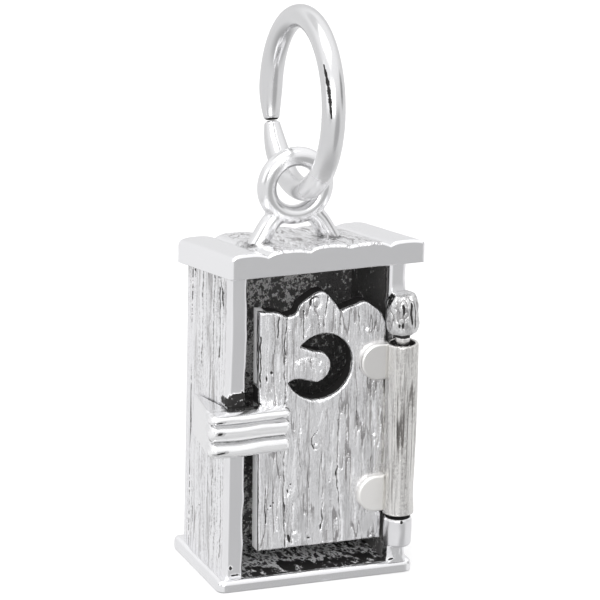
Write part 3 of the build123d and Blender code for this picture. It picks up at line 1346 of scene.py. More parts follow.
BACK_WALL_MARKS: tuple[Mark, ...] = (
    Crack(((-2.05, 12.0), (-1.98, 8.0), (-2.08, 4.0), (-2.02, 0.5)), 0.06, 0.055, 0.42),
    Crack(((-0.62, 12.0), (-0.70, 8.6), (-0.60, 5.0), (-0.66, 0.5)), 0.06, 0.055, 0.42),
    Crack(((0.78, 12.0), (0.72, 7.0), (0.80, 3.4), (0.75, 0.5)), 0.06, 0.055, 0.42),
    Crack(((2.15, 12.0), (2.22, 7.4), (2.14, 3.0), (2.2, 0.5)), 0.06, 0.055, 0.42),
    Crack(((-1.30, 9.4), (-1.36, 7.6), (-1.28, 6.2)), 0.04, 0.04, 0.7),
    Crack(((0.10, 5.6), (0.04, 4.0), (0.12, 2.4)), 0.04, 0.04, 0.7),
    Crack(((1.50, 10.6), (1.44, 9.2), (1.52, 8.0)), 0.04, 0.04, 0.7),
    *(Nail(centre, 0.10) for centre in BACK_NAILS),
    Nail((1.5, 6.1), 0.14),
)


@dataclass
class Walls:
    """The three walls, the two jambs and the plate that they stand on."""

    sunk: float = 0.12
    corner: float = 0.10
    hidden_lap: float = 0.07
    plate_edge: float = 0.17
    plate_corner: float = 0.36
    outside: PlankSilver = PlankSilver(
        "wall_silver",
        GrainRun.STRAIGHT,
        grain_depth=0.055,
        streaks=1.0,
        rate=0.55,
        lines=2.6,
        line_width=0.42,
    )

    def __post_init__(self) -> None:
        """Reads the places from the frame."""
        self.plate = box_of("base_plate")
        self.back = box_of("back_wall")
        self.jamb = box_of("left_jamb")
        fall = (self.jamb.top - self.back.top) / -(self.jamb.front - self.back.front)
        outer_top = self.jamb.top - fall * (self.back.back - self.jamb.front)
        self.slope = (self.jamb.top - outer_top) / (self.jamb.front - self.back.back)
        self.foot = self.plate.top - self.sunk

    def build(self) -> list[bpy.types.Object]:
        """Makes every piece of the walls."""
        pieces = [self.make_plate(), self.make_left_wall(), self.make_right_wall(), self.make_back_wall()]
        return [*pieces, self.make_jamb("left_jamb", 41), self.make_jamb("right_jamb", 43)]

    def under_roof(self, depth: float) -> float:
        """Height of the roof's underside at a depth."""
        return self.jamb.top + self.slope * (depth - self.jamb.front)

    def side_outline(self, front: float, back: float) -> list[Point]:
        """Outline of a side wall in Y and Z, from its front to its back, sunk into plate and roof."""
        tops = [(depth, self.under_roof(depth) + self.sunk) for depth in (back, front)]
        return [(front, self.foot), (back, self.foot), *tops]

    def planks(
        self,
        node: str,
        slab: Slab,
        place: Field,
        marks: tuple[Mark, ...],
        inner: InnerFace,
        side: Field = even(0.0),
    ) -> bpy.types.Object:
        """A wall: planks outside, blackened inside.

        Args:
            node: The CAD node that it stands for.
            slab: Its shape; the seed of the planks follows from its seed.
            place: Turns coordinates and height into a place.
            marks: The marks on its outer face.
            inner: Its inner face.
            side: Tarnish on its edges.

        Returns:
            The piece.
        """
        casting = Casting(f"{node}_planks")
        face = PlankFace(slab.seed + 90, marks, 0.014, 0.040, 0.026, 0.55, 0.62)
        slab.build(casting, place, face, inner, side, (0, 0, 1))
        return casting.finish(Body.HOUSE, Slot.PLANK, (self.outside, OxidisedSilver()), node)

    def make_left_wall(self) -> bpy.types.Object:
        """Left wall: board joints, cracks near the front, smooth at the latch.

        Returns:
            The piece.
        """
        box = box_of("left_wall")
        outline = self.side_outline(box.front - self.hidden_lap, box.back + self.hidden_lap)
        slab = Slab(outline, box.right - box.left, self.hidden_lap, 0.0, (0.045, 0.10), seed=11)
        inner = InnerFace(12, even(0.35))
        return self.planks("left_wall", slab, facing(0, box.left, -1), LEFT_WALL_MARKS, inner)

    def make_right_wall(self) -> bpy.types.Object:
        """Right wall, with its own board joints and a striped front edge.

        Returns:
            The piece.
        """
        box = box_of("right_wall")
        outline = self.side_outline(box.front, box.back + self.hidden_lap)
        slab = Slab(outline, box.right - box.left, self.hidden_lap, 0.05, (0.05, 0.10), seed=13)

        def side(across: Array, along: Array, depth: Array, number: int) -> Array:
            """Tarnish of the edges.

            Args:
                across: First coordinate.
                along: Second coordinate.
                depth: How far down the edge, as a share.
                number: 0 for the outline, more for a hole.

            Returns:
                The tarnish.
            """
            stripes = Unevenness(7).at(along * 4.0, depth * 6.0)
            front = smooth(-across, -(box.front + 0.2), -(box.front + 0.1))
            return front * (0.55 + 0.6 * stripes)

        inner = InnerFace(14, even(0.06), 0.015)
        return self.planks("right_wall", slab, facing(0, box.right), RIGHT_WALL_MARKS, inner, side)

    def make_back_wall(self) -> bpy.types.Object:
        """Back wall: mottled black inside, with clouds of grey flecks towards the left.

        Returns:
            The piece.
        """
        box = self.back
        top = self.under_roof(box.back) + self.sunk
        outline = [(box.left, self.foot), (box.right, self.foot), (box.right, top), (box.left, top)]
        slab = Slab(outline, box.back - box.front, self.corner, 0.0, (0.055, 0.10), seed=15)
        noise = Unevenness(17)

        def wear(across: Array, along: Array) -> Array:
            """How far the black is worn off.

            Args:
                across: X.
                along: Z.

            Returns:
                The wear, from 0 to 1.
            """
            near_left = 1 - smooth(across, 0.6, 2.2)
            upper = smooth(along, 8.4, 8.9)
            ragged = noise.layered(across * 1.6, along * 1.6, 3)
            by_gap = 1 - smooth(across + 0.35 * ragged, -1.0, -0.5)
            level = along + 0.5 * noise.layered(across * 1.2 + 40, along * 0.9, 3)
            grey = smooth(level, 6.2, 6.9) * (1 - smooth(level, 7.9, 8.6)) * by_gap
            low_flecks = (1 - smooth(along, 2.8, 3.4)) * by_gap
            worn = np.maximum(0.18 + 0.42 * upper * near_left, 0.92 * grey)
            return np.maximum(worn, 0.72 * low_flecks)

        inner = InnerFace(16, wear, 0.035)
        return self.planks("back_wall", slab, facing(1, box.back), BACK_WALL_MARKS, inner)

    def make_jamb(self, node: str, seed: int) -> bpy.types.Object:
        """A jamb: plain filed face; the one that stands on the plate is black above the latch.

        Args:
            node: The CAD node that it stands for.
            seed: Seed of its unevenness.

        Returns:
            The piece.
        """
        box = box_of(node)
        stain_level = box_of("latch_body").top
        standing = box.bottom < 1.0
        marks: tuple[Mark, ...] = ()
        if standing:
            marks = (
                Stain((-3.12, stain_level + 0.06), 0.60, 0.42, 0.66, 0.55, 5),
                Pit((-3.29, 0.88), 0.07, 0.065, 0, 0.0, 1.6),
                Crack(((-3.22, 0.58), (-2.90, 0.55)), 0.045, 0.0, 0.8),
                Pit((-3.30, stain_level + 0.62), 0.10, 0.06, 20, 0.015, 0.45),
            )
        bottom = box.bottom - (self.sunk if standing else 0.0)
        top = box.top + self.sunk
        levels = np.arange(bottom, top, 0.12)
        ragged = 0.035 * Unevenness(seed + 5).layered(levels * 1.1, levels * 0.0, 3)
        inner = [(box.right + shift, level) for level, shift in zip(levels.tolist(), ragged.tolist())]
        outline = [(box.left, bottom), *inner, (box.right, top), (box.left, top)]
        slab = Slab(outline, box.back - box.front, 0.12, 0.0, (0.045, 0.09), wobble=0.02, seed=seed)

        def side(across: Array, along: Array, depth: Array, number: int) -> Array:
            """Tarnish of the edges: black inside the house and, on the standing jamb, at the latch.

            Args:
                across: First coordinate.
                along: Second coordinate.
                depth: How far down the edge, as a share.
                number: 0 for the outline, more for a hole.

            Returns:
                The tarnish.
            """
            inward = smooth(across, box.right - 0.15, box.right - 0.08)
            behind = 0.9 * smooth(depth, 0.3, 0.8)
            if not standing:
                return behind * (1 - inward)
            stained = 1 - smooth(np.abs(along - stain_level - 0.12), 0.30, 0.42)
            stained_outside = 1 - smooth(np.abs(along - stain_level - 0.10), 0.16, 0.26)
            return (stained * 0.70 + behind) * inward + 0.8 * stained_outside * (1 - inward)

        casting = Casting(f"{node}_post")
        back = FiledFace(seed + 1, (), 0.01, 0.9)
        slab.build(casting, facing(1, box.front, -1), FiledFace(seed, marks, 0.012), back, side)
        return casting.finish(Body.HOUSE, Slot.SATIN, (SatinSilver(),), node)

    def make_plate(self) -> bpy.types.Object:
        """Base plate: soft edges, black where it is the floor of the house.

        Returns:
            The piece.
        """
        box = self.plate
        left, right, front, rear = box.left, box.right, box.front, box.back
        corners = [(left, front), (right, front), (right, rear), (left, rear)]
        outline = rounded(corners, self.plate_corner)
        thickness = box.top - box.bottom
        slab = Slab(outline, thickness, self.plate_edge, 0.05, (0.055, 0.055), wobble=0.02, seed=21)
        inner_left = self.jamb.right
        inner_right = box_of("right_wall").left + 0.1
        inner_back = self.back.front + 0.1
        noise = Unevenness(23)

        def floor(across: Array, along: Array) -> tuple[Array, Array]:
            """Height and tarnish of the top.

            Args:
                across: X.
                along: Y.

            Returns:
                Height in millimetres, and tarnish.
            """
            ragged = noise.layered(across * 1.7, along * 1.7) * 0.012
            in_front = smooth(along + ragged, front + 0.14, front + 0.19)
            between = smooth(across, inner_left - 0.05, inner_left)
            between = between * (1 - smooth(across, inner_right - 0.06, inner_right))
            inside = in_front * between * (1 - smooth(along, inner_back - 0.1, inner_back))
            flecks = noise.layered(across * 7.0, along * 3.2)
            reach = along + 0.25 * noise.at(across * 2.3, along + 60)
            share = smooth(reach, -1.75, -1.10)
            beyond = smooth(reach, -1.10, -0.50)
            height = 0.014 * noise.layered(across * 1.1, along * 1.1 + 40)
            height += 0.02 * flecks * share * inside
            return height, inside * (0.68 - 0.25 * share + 0.03 * beyond + 0.24 * flecks)

        def under(across: Array, along: Array) -> tuple[Array, Array]:
            """Height and tarnish of the underside."""
            return -0.008 * np.abs(noise.layered(across, along, 2)), np.zeros_like(across)

        casting = Casting("base_plate_casting")
        slab.build(casting, facing(2, box.top), floor, under)
        finish = SatinSilver("plate_silver", GrainRun.ACROSS, roughness=0.22, speckle=13.0)
        return casting.finish(Body.HOUSE, Slot.SATIN, (finish,), "base_plate")


# ---------------------------------------------------------------------------------------------
# Roof
# ---------------------------------------------------------------------------------------------


@dataclass
class Roof:
    """Five crowned boards that slope down to the back, cast in one."""

    edge: float = 0.12
    corner: float = 0.13
    boards: int = 5
    valley: float = 0.045
    crown: float = 0.19
    foot_inset: float = 0.3
    crests: tuple[float, ...] = (0.17, 0.19, 0.24, 0.18, 0.13)
    notches: tuple[float, ...] = (0.0, 0.03, 0.08, 0.13, 0.01, 0.0)

    def __post_init__(self) -> None:
        """Reads the boards' places from the frame."""
        self.nodes = [f"roof_board_{number}" for number in range(1, self.boards + 1)]
        boxes = [box_of(node) for node in self.nodes]
        self.joints = [*(box.left for box in boxes), boxes[-1].right]
        self.front = boxes[0].front
        self.back = boxes[0].back
        jamb, wall = box_of("left_jamb"), box_of("back_wall")
        self.slope = (jamb.top - wall.top) / (jamb.front - wall.front)
        self.front_under = jamb.top + self.slope * (self.front - jamb.front)
        self.thickness = boxes[0].top - self.front_under - self.crown

    def crest(self, across: Array, along: Array) -> Array:
        """Height of the crowned tops above the valleys, at places given by X and Y.

        Args:
            across: X.
            along: Y.

        Returns:
            The heights.
        """
        height = np.zeros_like(across)
        for number, (left, right) in enumerate(zip(self.joints, self.joints[1:])):
            share = np.clip((across - left) / (right - left), 0, 1)
            inside = (across >= left) & (across <= right)
            valley = self.notches[number] * (1 - share) + self.notches[number + 1] * share
            swell = 1 - np.abs(2 * share**0.85 - 1) ** 3.0
            height = np.where(inside, valley + (self.crests[number] - valley) * swell, height)
        return height

    def build(self) -> list[bpy.types.Object]:
        """Makes the roof.

        Returns:
            The piece, in a list.
        """
        bail = box_of("bail_loop")
        middle = (bail.front + bail.back) / 2
        feet = [(bail.left + self.foot_inset, middle), (bail.right - self.foot_inset, middle)]
        noise = Unevenness(31)
        left, right = self.joints[0], self.joints[-1]
        corners = [(left, self.front), (right, self.front), (right, self.back), (left, self.back)]
        outline = rounded(corners, self.corner)
        slab = Slab(outline, self.thickness, self.edge, 0.06, (0.045, 0.07), [], self.crest, 0.006, 33)

        def place(across: Array, along: Array, height: Array) -> Array:
            """Places at a height above the sloping boards."""
            underside = self.front_under + self.slope * (along - self.front)
            return np.stack((across, along, underside + self.thickness + height), axis=1)

        def top(across: Array, along: Array) -> tuple[Array, Array]:
            """Height and tarnish of the top: rough in the middle, black round the bail's feet.

            Args:
                across: X.
                along: Y.

            Returns:
                Height in millimetres, and tarnish.
            """
            rough = smooth(across, -2.35, -1.5) * (1 - smooth(across, 1.9, 2.8))
            rough = rough * (0.78 + 0.22 * smooth(along, self.front + 0.10, self.front + 0.30))
            bent = across + 0.14 * noise.at(across * 0.6, along * 0.8)
            line = noise.layered(bent * 4.6, along * 0.45, 2)
            ridge = np.clip(1 - np.abs(noise.at(bent * 3.0 + 9, along * 0.35)) / 0.14, 0, 1)
            wave = 0.006 * noise.layered(across * 0.8, along * 0.6 + 9, 2)
            height = (0.016 * line - 0.035 * ridge) * rough + wave
            tarnish = rough - 1 + 0.34 * ridge**2 * rough
            for joint in self.joints[1:-1]:
                near = hump(across, joint, 0.05)
                height -= self.valley * near
                tarnish = np.maximum(tarnish, 0.40 * near * rough + rough - 1)
            for foot in feet:
                away = np.hypot(across - foot[0], (along - foot[1]) * 0.7)
                away = away + 0.22 * noise.layered(across * 4.4, along * 1.2)
                tarnish = tarnish + (0.54 - tarnish) * (1 - smooth(away, 0.40, 1.05))
            return height, tarnish

        def under(across: Array, along: Array) -> tuple[Array, Array]:
            """Height and tarnish of the underside, black inside the house."""
            inside = smooth(np.minimum(3.0 - np.abs(across), 2.0 - np.abs(along)), -0.1, 0.1)
            return 0.010 * noise.layered(across * 1.3, along * 1.3, 2), 2.1 * inside - 1.0

        casting = Casting("roof_planks")
        slab.build(casting, place, top, under, even(-1.0))
        finish = PlankSilver("roof_silver", GrainRun.TO_BACK, grain_depth=0.075, streaks=0.95)
        return [casting.finish(Body.HOUSE, Slot.PLANK, (finish,), *self.nodes)]


# ---------------------------------------------------------------------------------------------
# Hinge pieces on the house
# ---------------------------------------------------------------------------------------------


@dataclass
class HingePosts:
    """Upper knuckle, lower knuckle, its foot and the pin between them."""

    parts: int = 96
    shoulder: tuple[Point, ...] = (
        (0.89, 0.03), (0.96, 0.12), (1.0, 0.35), (1.0, 0.70), (0.94, 0.84), (0.80, 0.94), (0.70, 1.0)
    )
    soft_rim: float = 0.13
    foot_rows: int = 18

    def __post_init__(self) -> None:
        """Reads the places from the frame."""
        self.axis: Point = tuple(joint_place("door_hinge")[:2].tolist())
        self.upper = box_of("hinge_knuckle_upper")

    def build(self) -> list[bpy.types.Object]:
        """Makes the four pieces."""
        return [self.make_upper(), self.make_lower(), self.make_foot(), self.make_pin()]

    def make_upper(self) -> bpy.types.Object:
        """Upper knuckle: a squarish lump with tool marks.

        Returns:
            The piece.
        """
        bottom = self.upper.bottom
        tall = self.upper.top - bottom
        half = (self.upper.right - self.axis[0]) * 0.95
        noise = Unevenness(51)
        levels = [(0.05, 0.0), (0.30, 0.0), (0.70, 0.0), (0.84, 0.01)]
        levels += [*through(list(self.shoulder), 5), (0.50, 1.01), (0.25, 1.01), (0.05, 1.01)]
        profile = [(half * share, bottom + tall * rise) for share, rise in levels]

        def shape(reach: Array, turns: Array, level: Array) -> Array:
            """Radius of the lump, squared off and dented.

            Args:
                reach: Radius so far.
                turns: Angle.
                level: Height.

            Returns:
                The radius.
            """
            facets = np.round(turns / (pi / 4)) * (pi / 4)
            square = 0.5 + 0.5 * cos(pi / 8) / np.cos(turns - facets)
            dents = noise.layered(turns * 3.2, level * 2.6)
            return reach * square + 0.028 * dents * smooth(reach, 0.1, 0.4)

        sections = turned((self.axis[0] - 0.03, self.axis[1]), profile, self.parts, shape)
        around = circle(self.parts)
        tarnish = np.zeros(sections.shape[:2])
        marks: tuple[Mark, ...] = (
            Crack(((4.34, bottom + 1.20), (4.42, bottom + 1.12), (4.40, bottom + 0.92)), 0.07, 0.06, 1.5),
            Pit((4.14, bottom + 0.42), 0.07, 0.07, 0, 0.05, 1.5),
            Pit((4.36, bottom + 0.44), 0.09, 0.11, 10, 0.05, 1.6),
            Pit((4.02, bottom + 0.98), 0.08, 0.14, 0, 0.04, 0.6),
            Pit((3.70, bottom + 0.60), 0.16, 0.10, 0, 0.04, 0.7),
            Pit((4.62, bottom + 0.70), 0.14, 0.09, 30, 0.04, 0.6),
            Crack(((4.95, bottom + 1.25), (4.88, bottom + 0.9), (5.00, bottom + 0.5)), 0.09, 0.03, 1.0),
            Crack(((5.25, bottom + 1.2), (5.30, bottom + 0.7), (5.22, bottom + 0.3)), 0.08, 0.03, 0.9),
        )
        outward = np.stack((np.cos(around), np.sin(around), np.zeros(self.parts)), axis=1)
        for row, film in zip(sections, tarnish):
            relief = Relief(around, row[:, 2], np.zeros(self.parts), film)
            for mark in marks:
                mark.apply(relief)
            row += outward * relief.height[:, None]
        casting = Casting("knuckle_upper_lump")
        loft(casting, sections, tarnish)
        bright, dull = (0.74, 0.74, 0.74, 1.0), PlankSilver.dull
        finish = PlankSilver("worn_silver", GrainRun.KNOBBED, bright, dull, 0.045, 0.7, lines=2.0)
        return casting.finish(Body.HOUSE, Slot.SATIN, (finish,), "hinge_knuckle_upper")

    def make_lower(self) -> bpy.types.Object:
        """Lower knuckle: a smooth drum with soft rims.

        Returns:
            The piece.
        """
        box = box_of("hinge_knuckle_lower")
        bottom, top, soft = box.bottom, box.top, self.soft_rim
        radius = box.right - self.axis[0]
        core = radius - soft
        bends = [(soft * sin(radians(turn)), soft * cos(radians(turn))) for turn in range(15, 91, 15)]
        profile = [(0.02, bottom), (core, bottom)]
        profile += [(core + out, bottom + soft - rise) for out, rise in bends]
        profile += [(radius, bottom + soft + (top - bottom - 2 * soft) * step / 10) for step in range(1, 11)]
        profile += [(core + out, top - soft + rise) for rise, out in bends]
        profile += [(0.02, top)]
        noise = Unevenness(53)

        def shape(reach: Array, turns: Array, level: Array) -> Array:
            """Radius of the drum, a little uneven."""
            return reach + 0.012 * noise.layered(turns * 1.2, level * 1.6, 2)

        sections = turned(self.axis, profile, self.parts, shape)
        tarnish = np.zeros(sections.shape[:2])
        spot = Pit((4.62, top - 0.10), 0.10, 0.05, 0, 0.0, 1.5)
        for row, film in zip(sections, tarnish):
            spot.apply(Relief(circle(self.parts), row[:, 2], np.zeros(self.parts), film))
        tarnish[sections[:, :, 2] > top - 0.02] = 0.9
        casting = Casting("knuckle_lower_drum")
        loft(casting, sections, tarnish)
        finish = SatinSilver("knuckle_silver", bright=(0.84, 0.84, 0.85, 1.0))
        return casting.finish(Body.HOUSE, Slot.SATIN, (finish,), "hinge_knuckle_lower")

    def make_foot(self) -> bpy.types.Object:
        """Foot: narrow under the drum, flared on the plate.

        Returns:
            The piece.
        """
        box = box_of("hinge_foot")
        noise = Unevenness(55)
        around = circle(self.parts)
        square = (np.abs(np.cos(around)) ** 4 + np.abs(np.sin(around)) ** 4) ** (-1 / 4)
        spot = Pit((4.2, box.bottom + 0.12), 0.30, 0.05, 5, 0.0, 1.1)
        sections = []
        tarnish = np.zeros((self.foot_rows + 1, self.parts))
        for film, share in zip(tarnish, [row / self.foot_rows for row in range(self.foot_rows + 1)]):
            level = np.full(self.parts, box.bottom - 0.05 + (box.top + 0.12 - box.bottom) * share)
            flare = 1.04 - 0.12 * sin(min(1.0, share * 1.6) * pi / 2) + 0.06 * share
            reach = square * flare * (1 + 0.05 * noise.layered(around * 2.0, level * 3.0))
            across = (box.right + box.left) / 2 + (box.right - box.left) / 2 * reach * np.cos(around)
            depth = (box.back + box.front) / 2 + (box.back - box.front) / 2 * reach * np.sin(around)
            sections.append(np.stack((across, depth, level), axis=1))
            spot.apply(Relief(around, level, np.zeros(self.parts), film))
        casting = Casting("hinge_foot_block")
        loft(casting, np.array(sections), tarnish)
        return casting.finish(Body.HOUSE, Slot.SATIN, (SatinSilver(roughness=0.22),), "hinge_foot")

    def make_pin(self) -> bpy.types.Object:
        """Pin, blackened where it enters the knuckle and the barrel.

        Returns:
            The piece.
        """
        box = box_of("hinge_pin")
        radius = box.right - self.axis[0]
        shank = box.top - box.bottom - 0.1
        profile = [(0.02, box.bottom), (radius * 0.8, box.bottom), (radius, box.bottom + 0.05)]
        profile += [(radius, box.bottom + 0.05 + shank * step / 40) for step in range(1, 41)]
        profile += [(radius * 0.8, box.top), (0.02, box.top)]
        sections = turned(self.axis, profile, 48)
        levels = sections[:, :, 2]
        under_knuckle = smooth(levels, self.upper.bottom - 0.16, self.upper.bottom - 0.04)
        in_barrel = 1 - smooth(levels, self.upper.bottom - 0.62, self.upper.bottom - 0.46)
        casting = Casting("hinge_pin_rod")
        loft(casting, sections, np.maximum(under_knuckle, in_barrel) * 1.2 + 0.1)
        finish = SatinSilver("pin_silver", GrainRun.KNOBBED, (0.80, 0.79, 0.78, 1.0), 0.25, 0.02)
        return casting.finish(Body.HOUSE, Slot.POLISHED, (finish,), "hinge_pin")


# ---------------------------------------------------------------------------------------------
# Door
# ---------------------------------------------------------------------------------------------

# Joints, cracks, nails, pits and smooth places of the door's face, in X and Z.
DOOR_MARKS: tuple[Mark, ...] = (
    Crack(((-1.22, 10.6), (-1.31, 9.6), (-1.29, 8.4), (-1.21, 7.4)), 0.050, 0.08, 0.68),
    Crack(((-1.21, 7.4), (-1.24, 5.1), (-1.20, 3.4), (-1.12, 1.4)), 0.050, 0.08, 0.66),
    Crack(((-1.36, 10.5), (-1.40, 9.2), (-1.37, 7.9)), 0.030, 0.04, 0.40),
    Crack(((-1.08, 7.2), (-1.13, 5.2), (-1.07, 3.2)), 0.030, 0.04, 0.38),
    Crack(((-0.86, 8.86), (-0.42, 8.98), (-0.08, 8.92)), 0.030, 0.04, 0.45),
    Crack(((-0.75, 8.72), (-0.70, 8.50), (-0.48, 8.36)), 0.028, 0.03, 0.35),
    Crack(((0.16, 8.78), (0.02, 8.60), (-0.22, 8.52)), 0.028, 0.04, 0.45),
    Crack(((-0.32, 10.25), (-0.46, 10.02), (-0.52, 9.80)), 0.030, 0.04, 0.55),
    Crack(((-0.22, 10.62), (0.06, 10.48), (0.26, 10.60)), 0.028, 0.035, 0.45),
    Pit((0.12, 8.40), 0.045, 0.055, 0, 0.05, 1.0),
    Pit((0.09, 8.70), 0.035, 0.045, 0, 0.04, 0.9),
    Crack(((1.78, 10.05), (1.72, 9.75), (1.86, 9.45)), 0.030, 0.04, 0.45),
    Crack(((2.20, 9.95), (2.26, 9.70), (2.16, 9.50)), 0.030, 0.04, 0.45),
    Crack(((-1.17, 10.4), (-1.20, 9.0), (-1.14, 7.8)), 0.030, 0.035, 0.35),
    Crack(((0.89, 10.6), (0.94, 9.6)), 0.045, 0.065, 0.60),
    Crack(((0.97, 7.3), (0.92, 5.6), (0.91, 4.6)), 0.050, 0.07, 0.60),
    Crack(((0.91, 4.5), (0.90, 4.1), (1.02, 3.0), (1.12, 2.1), (1.13, 1.4)), 0.050, 0.07, 0.66),
    Crack(((-2.26, 9.9), (-2.24, 8.9), (-2.22, 7.9)), 0.035, 0.05, 0.95),
    Crack(((-1.58, 10.6), (-1.57, 9.8)), 0.035, 0.05, 0.95),
    Crack(((-1.57, 9.8), (-1.60, 9.0), (-1.55, 8.2)), 0.035, 0.03, 0.45),
    Crack(((-2.02, 10.7), (-1.98, 9.2), (-2.04, 7.5)), 0.04, 0.035, 0.35),
    Crack(((-0.60, 10.8), (-0.56, 10.3), (-0.57, 9.66)), 0.040, 0.045, 0.75),
    Crack(((-0.86, 10.5), (-0.84, 9.4), (-0.80, 8.8)), 0.035, 0.035, 0.40),
    Crack(((0.36, 11.25), (0.31, 10.75), (0.22, 10.1)), 0.035, 0.055, 0.85),
    Crack(((0.66, 10.8), (0.71, 9.8)), 0.035, 0.04, 0.60),
    Crack(((1.20, 10.6), (1.24, 10.0), (1.22, 9.4)), 0.030, 0.03, 0.45),
    Crack(((1.42, 10.7), (1.46, 10.1)), 0.030, 0.03, 0.50),
    Crack(((1.63, 10.7), (1.64, 10.0), (1.80, 9.3)), 0.035, 0.045, 0.75),
    Crack(((1.60, 7.4), (1.64, 6.6), (1.71, 5.9), (1.60, 5.2)), 0.040, 0.045, 0.60),
    Crack(((2.22, 6.9), (2.27, 6.3), (2.20, 5.7)), 0.035, 0.04, 0.55),
    Crack(((2.54, 6.6), (2.57, 5.6), (2.50, 5.0)), 0.030, 0.035, 0.55),
    Crack(((-1.94, 4.1), (-1.97, 3.3), (-1.91, 2.5)), 0.040, 0.045, 0.75),
    Crack(((-2.28, 5.4), (-2.24, 3.6), (-2.22, 1.6)), 0.045, 0.04, 0.20),
    Crack(((-1.50, 5.2), (-1.44, 3.8), (-1.50, 2.2)), 0.040, 0.04, 0.45),
    Crack(((-0.21, 4.6), (-0.17, 3.0), (-0.23, 1.8)), 0.035, 0.04, 0.65),
    Crack(((0.27, 5.1), (0.33, 4.2), (0.36, 3.3)), 0.034, 0.05, 0.60),
    Crack(((0.40, 3.1), (0.30, 2.8), (0.38, 2.4), (0.30, 2.0)), 0.036, 0.06, 0.74),
    Crack(((-0.62, 6.9), (-0.66, 5.8), (-0.60, 4.6)), 0.040, 0.04, 0.60),
    Crack(((-0.88, 6.6), (-0.84, 5.4)), 0.035, 0.035, 0.55),
    Crack(((0.27, 6.9), (0.14, 6.4), (-0.13, 5.85)), 0.030, 0.035, 0.45),
    Crack(((0.46, 6.8), (0.38, 6.2), (0.30, 5.6)), 0.030, 0.03, 0.35),
    Crack(((0.08, 6.0), (-0.12, 5.72), (-0.15, 5.44), (-0.02, 5.24)), 0.035, 0.045, 0.80),
    Crack(((1.55, 4.8), (1.50, 3.6), (1.62, 2.6), (1.60, 1.5)), 0.035, 0.04, 0.50),
    Crack(((1.95, 5.3), (1.86, 4.9), (1.92, 4.3)), 0.035, 0.035, 0.45),
    Crack(((-0.84, 3.2), (-0.90, 2.4), (-0.86, 1.6)), 0.045, 0.05, 0.60),
    Crack(((0.64, 6.3), (0.68, 5.0), (0.62, 3.9)), 0.040, 0.035, 0.35),
    Nail((-0.12, 11.06), 0.200, 0.045, 0.055, 1.05),
    Nail((0.06, 5.38), 0.115, 0.060, 0.035, 0.90),
    Nail((2.02, 9.72), 0.140, 0.070, 0.030, 0.30),
    Nail((2.42, 10.22), 0.060, 0.020, 0.030, 0.60),
    Nail((-2.08, 8.90), 0.050, 0.020, 0.025, 0.50),
    Nail((-0.93, 3.86), 0.090, 0.030, 0.030, 0.80),
    Nail((-0.72, 1.92), 0.170, 0.035, 0.035, 0.75),
    Nail((2.36, 5.52), 0.110, 0.050, 0.035, 0.60),
    Nail((0.10, 10.17), 0.075, 0.025, 0.030, 0.50),
    Nail((2.38, 1.46), 0.170, 0.020, 0.040, 0.60),
    Nail((1.34, 4.74), 0.160, 0.010, 0.025, 0.40),
    Pit((-1.79, 8.45), 0.055, 0.065, 30, 0.06, 1.5),
    Pit((-1.98, 8.24), 0.035, 0.13, 0, 0.05, 1.2),
    Pit((-1.84, 7.78), 0.050, 0.055, 0, 0.05, 1.3),
    Pit((-1.73, 3.17), 0.030, 0.070, -35, 0.05, 1.4),
    Pit((-1.62, 3.30), 0.030, 0.055, -35, 0.05, 1.3),
    Pit((-1.83, 3.06), 0.025, 0.050, -35, 0.04, 1.1),
    Pit((-1.05, 3.68), 0.035, 0.10, 10, 0.05, 1.2),
    Pit((-0.98, 1.80), 0.060, 0.18, 12, 0.07, 1.4),
    Pit((-0.20, 1.74), 0.110, 0.045, -8, 0.05, 1.2),
    Pit((0.31, 2.12), 0.040, 0.13, 0, 0.05, 1.2),
    Pit((0.88, 4.20), 0.045, 0.14, 0, 0.05, 1.1),
    Pit((-0.56, 10.72), 0.050, 0.06, 0, 0.04, 1.0),
    Swell((-1.75, 7.60), 0.40, 0.35, 0.015),
    Swell((2.10, 2.05), 0.45, 0.45, 0.03),
    Swell((1.36, 2.60), 0.20, 1.50, 0.02),
    Swell((1.95, 9.45), 0.35, 0.35, 0.005),
    Swell((0.02, 10.45), 0.30, 0.25, 0.02),
    Swell((-0.45, 8.45), 0.50, 0.42, 0.10),
    Swell((-1.70, 4.60), 0.35, 0.60, 0.02),
    Swell((2.20, 4.9), 0.30, 0.25, 0.01),
    Swell((-0.45, 2.2), 0.25, 0.5, 0.02),
)
MARKS_BEHIND: tuple[Mark, ...] = (
    Crack(((-1.21, 10.6), (-1.24, 6.0), (-1.16, 1.4)), 0.06, 0.07, 0.75),
    Crack(((0.89, 10.6), (0.94, 6.0), (1.08, 1.4)), 0.06, 0.07, 0.75),
    Crack(((-0.2, 6.6), (-0.26, 4.6), (-0.18, 3.0)), 0.04, 0.04, 0.7),
    Crack(((1.9, 9.6), (1.84, 6.6), (1.92, 4.0)), 0.04, 0.04, 0.6),
    Stain((0.2, 5.8), 1.7, 2.9, 0.48, 0.6, 9),
)


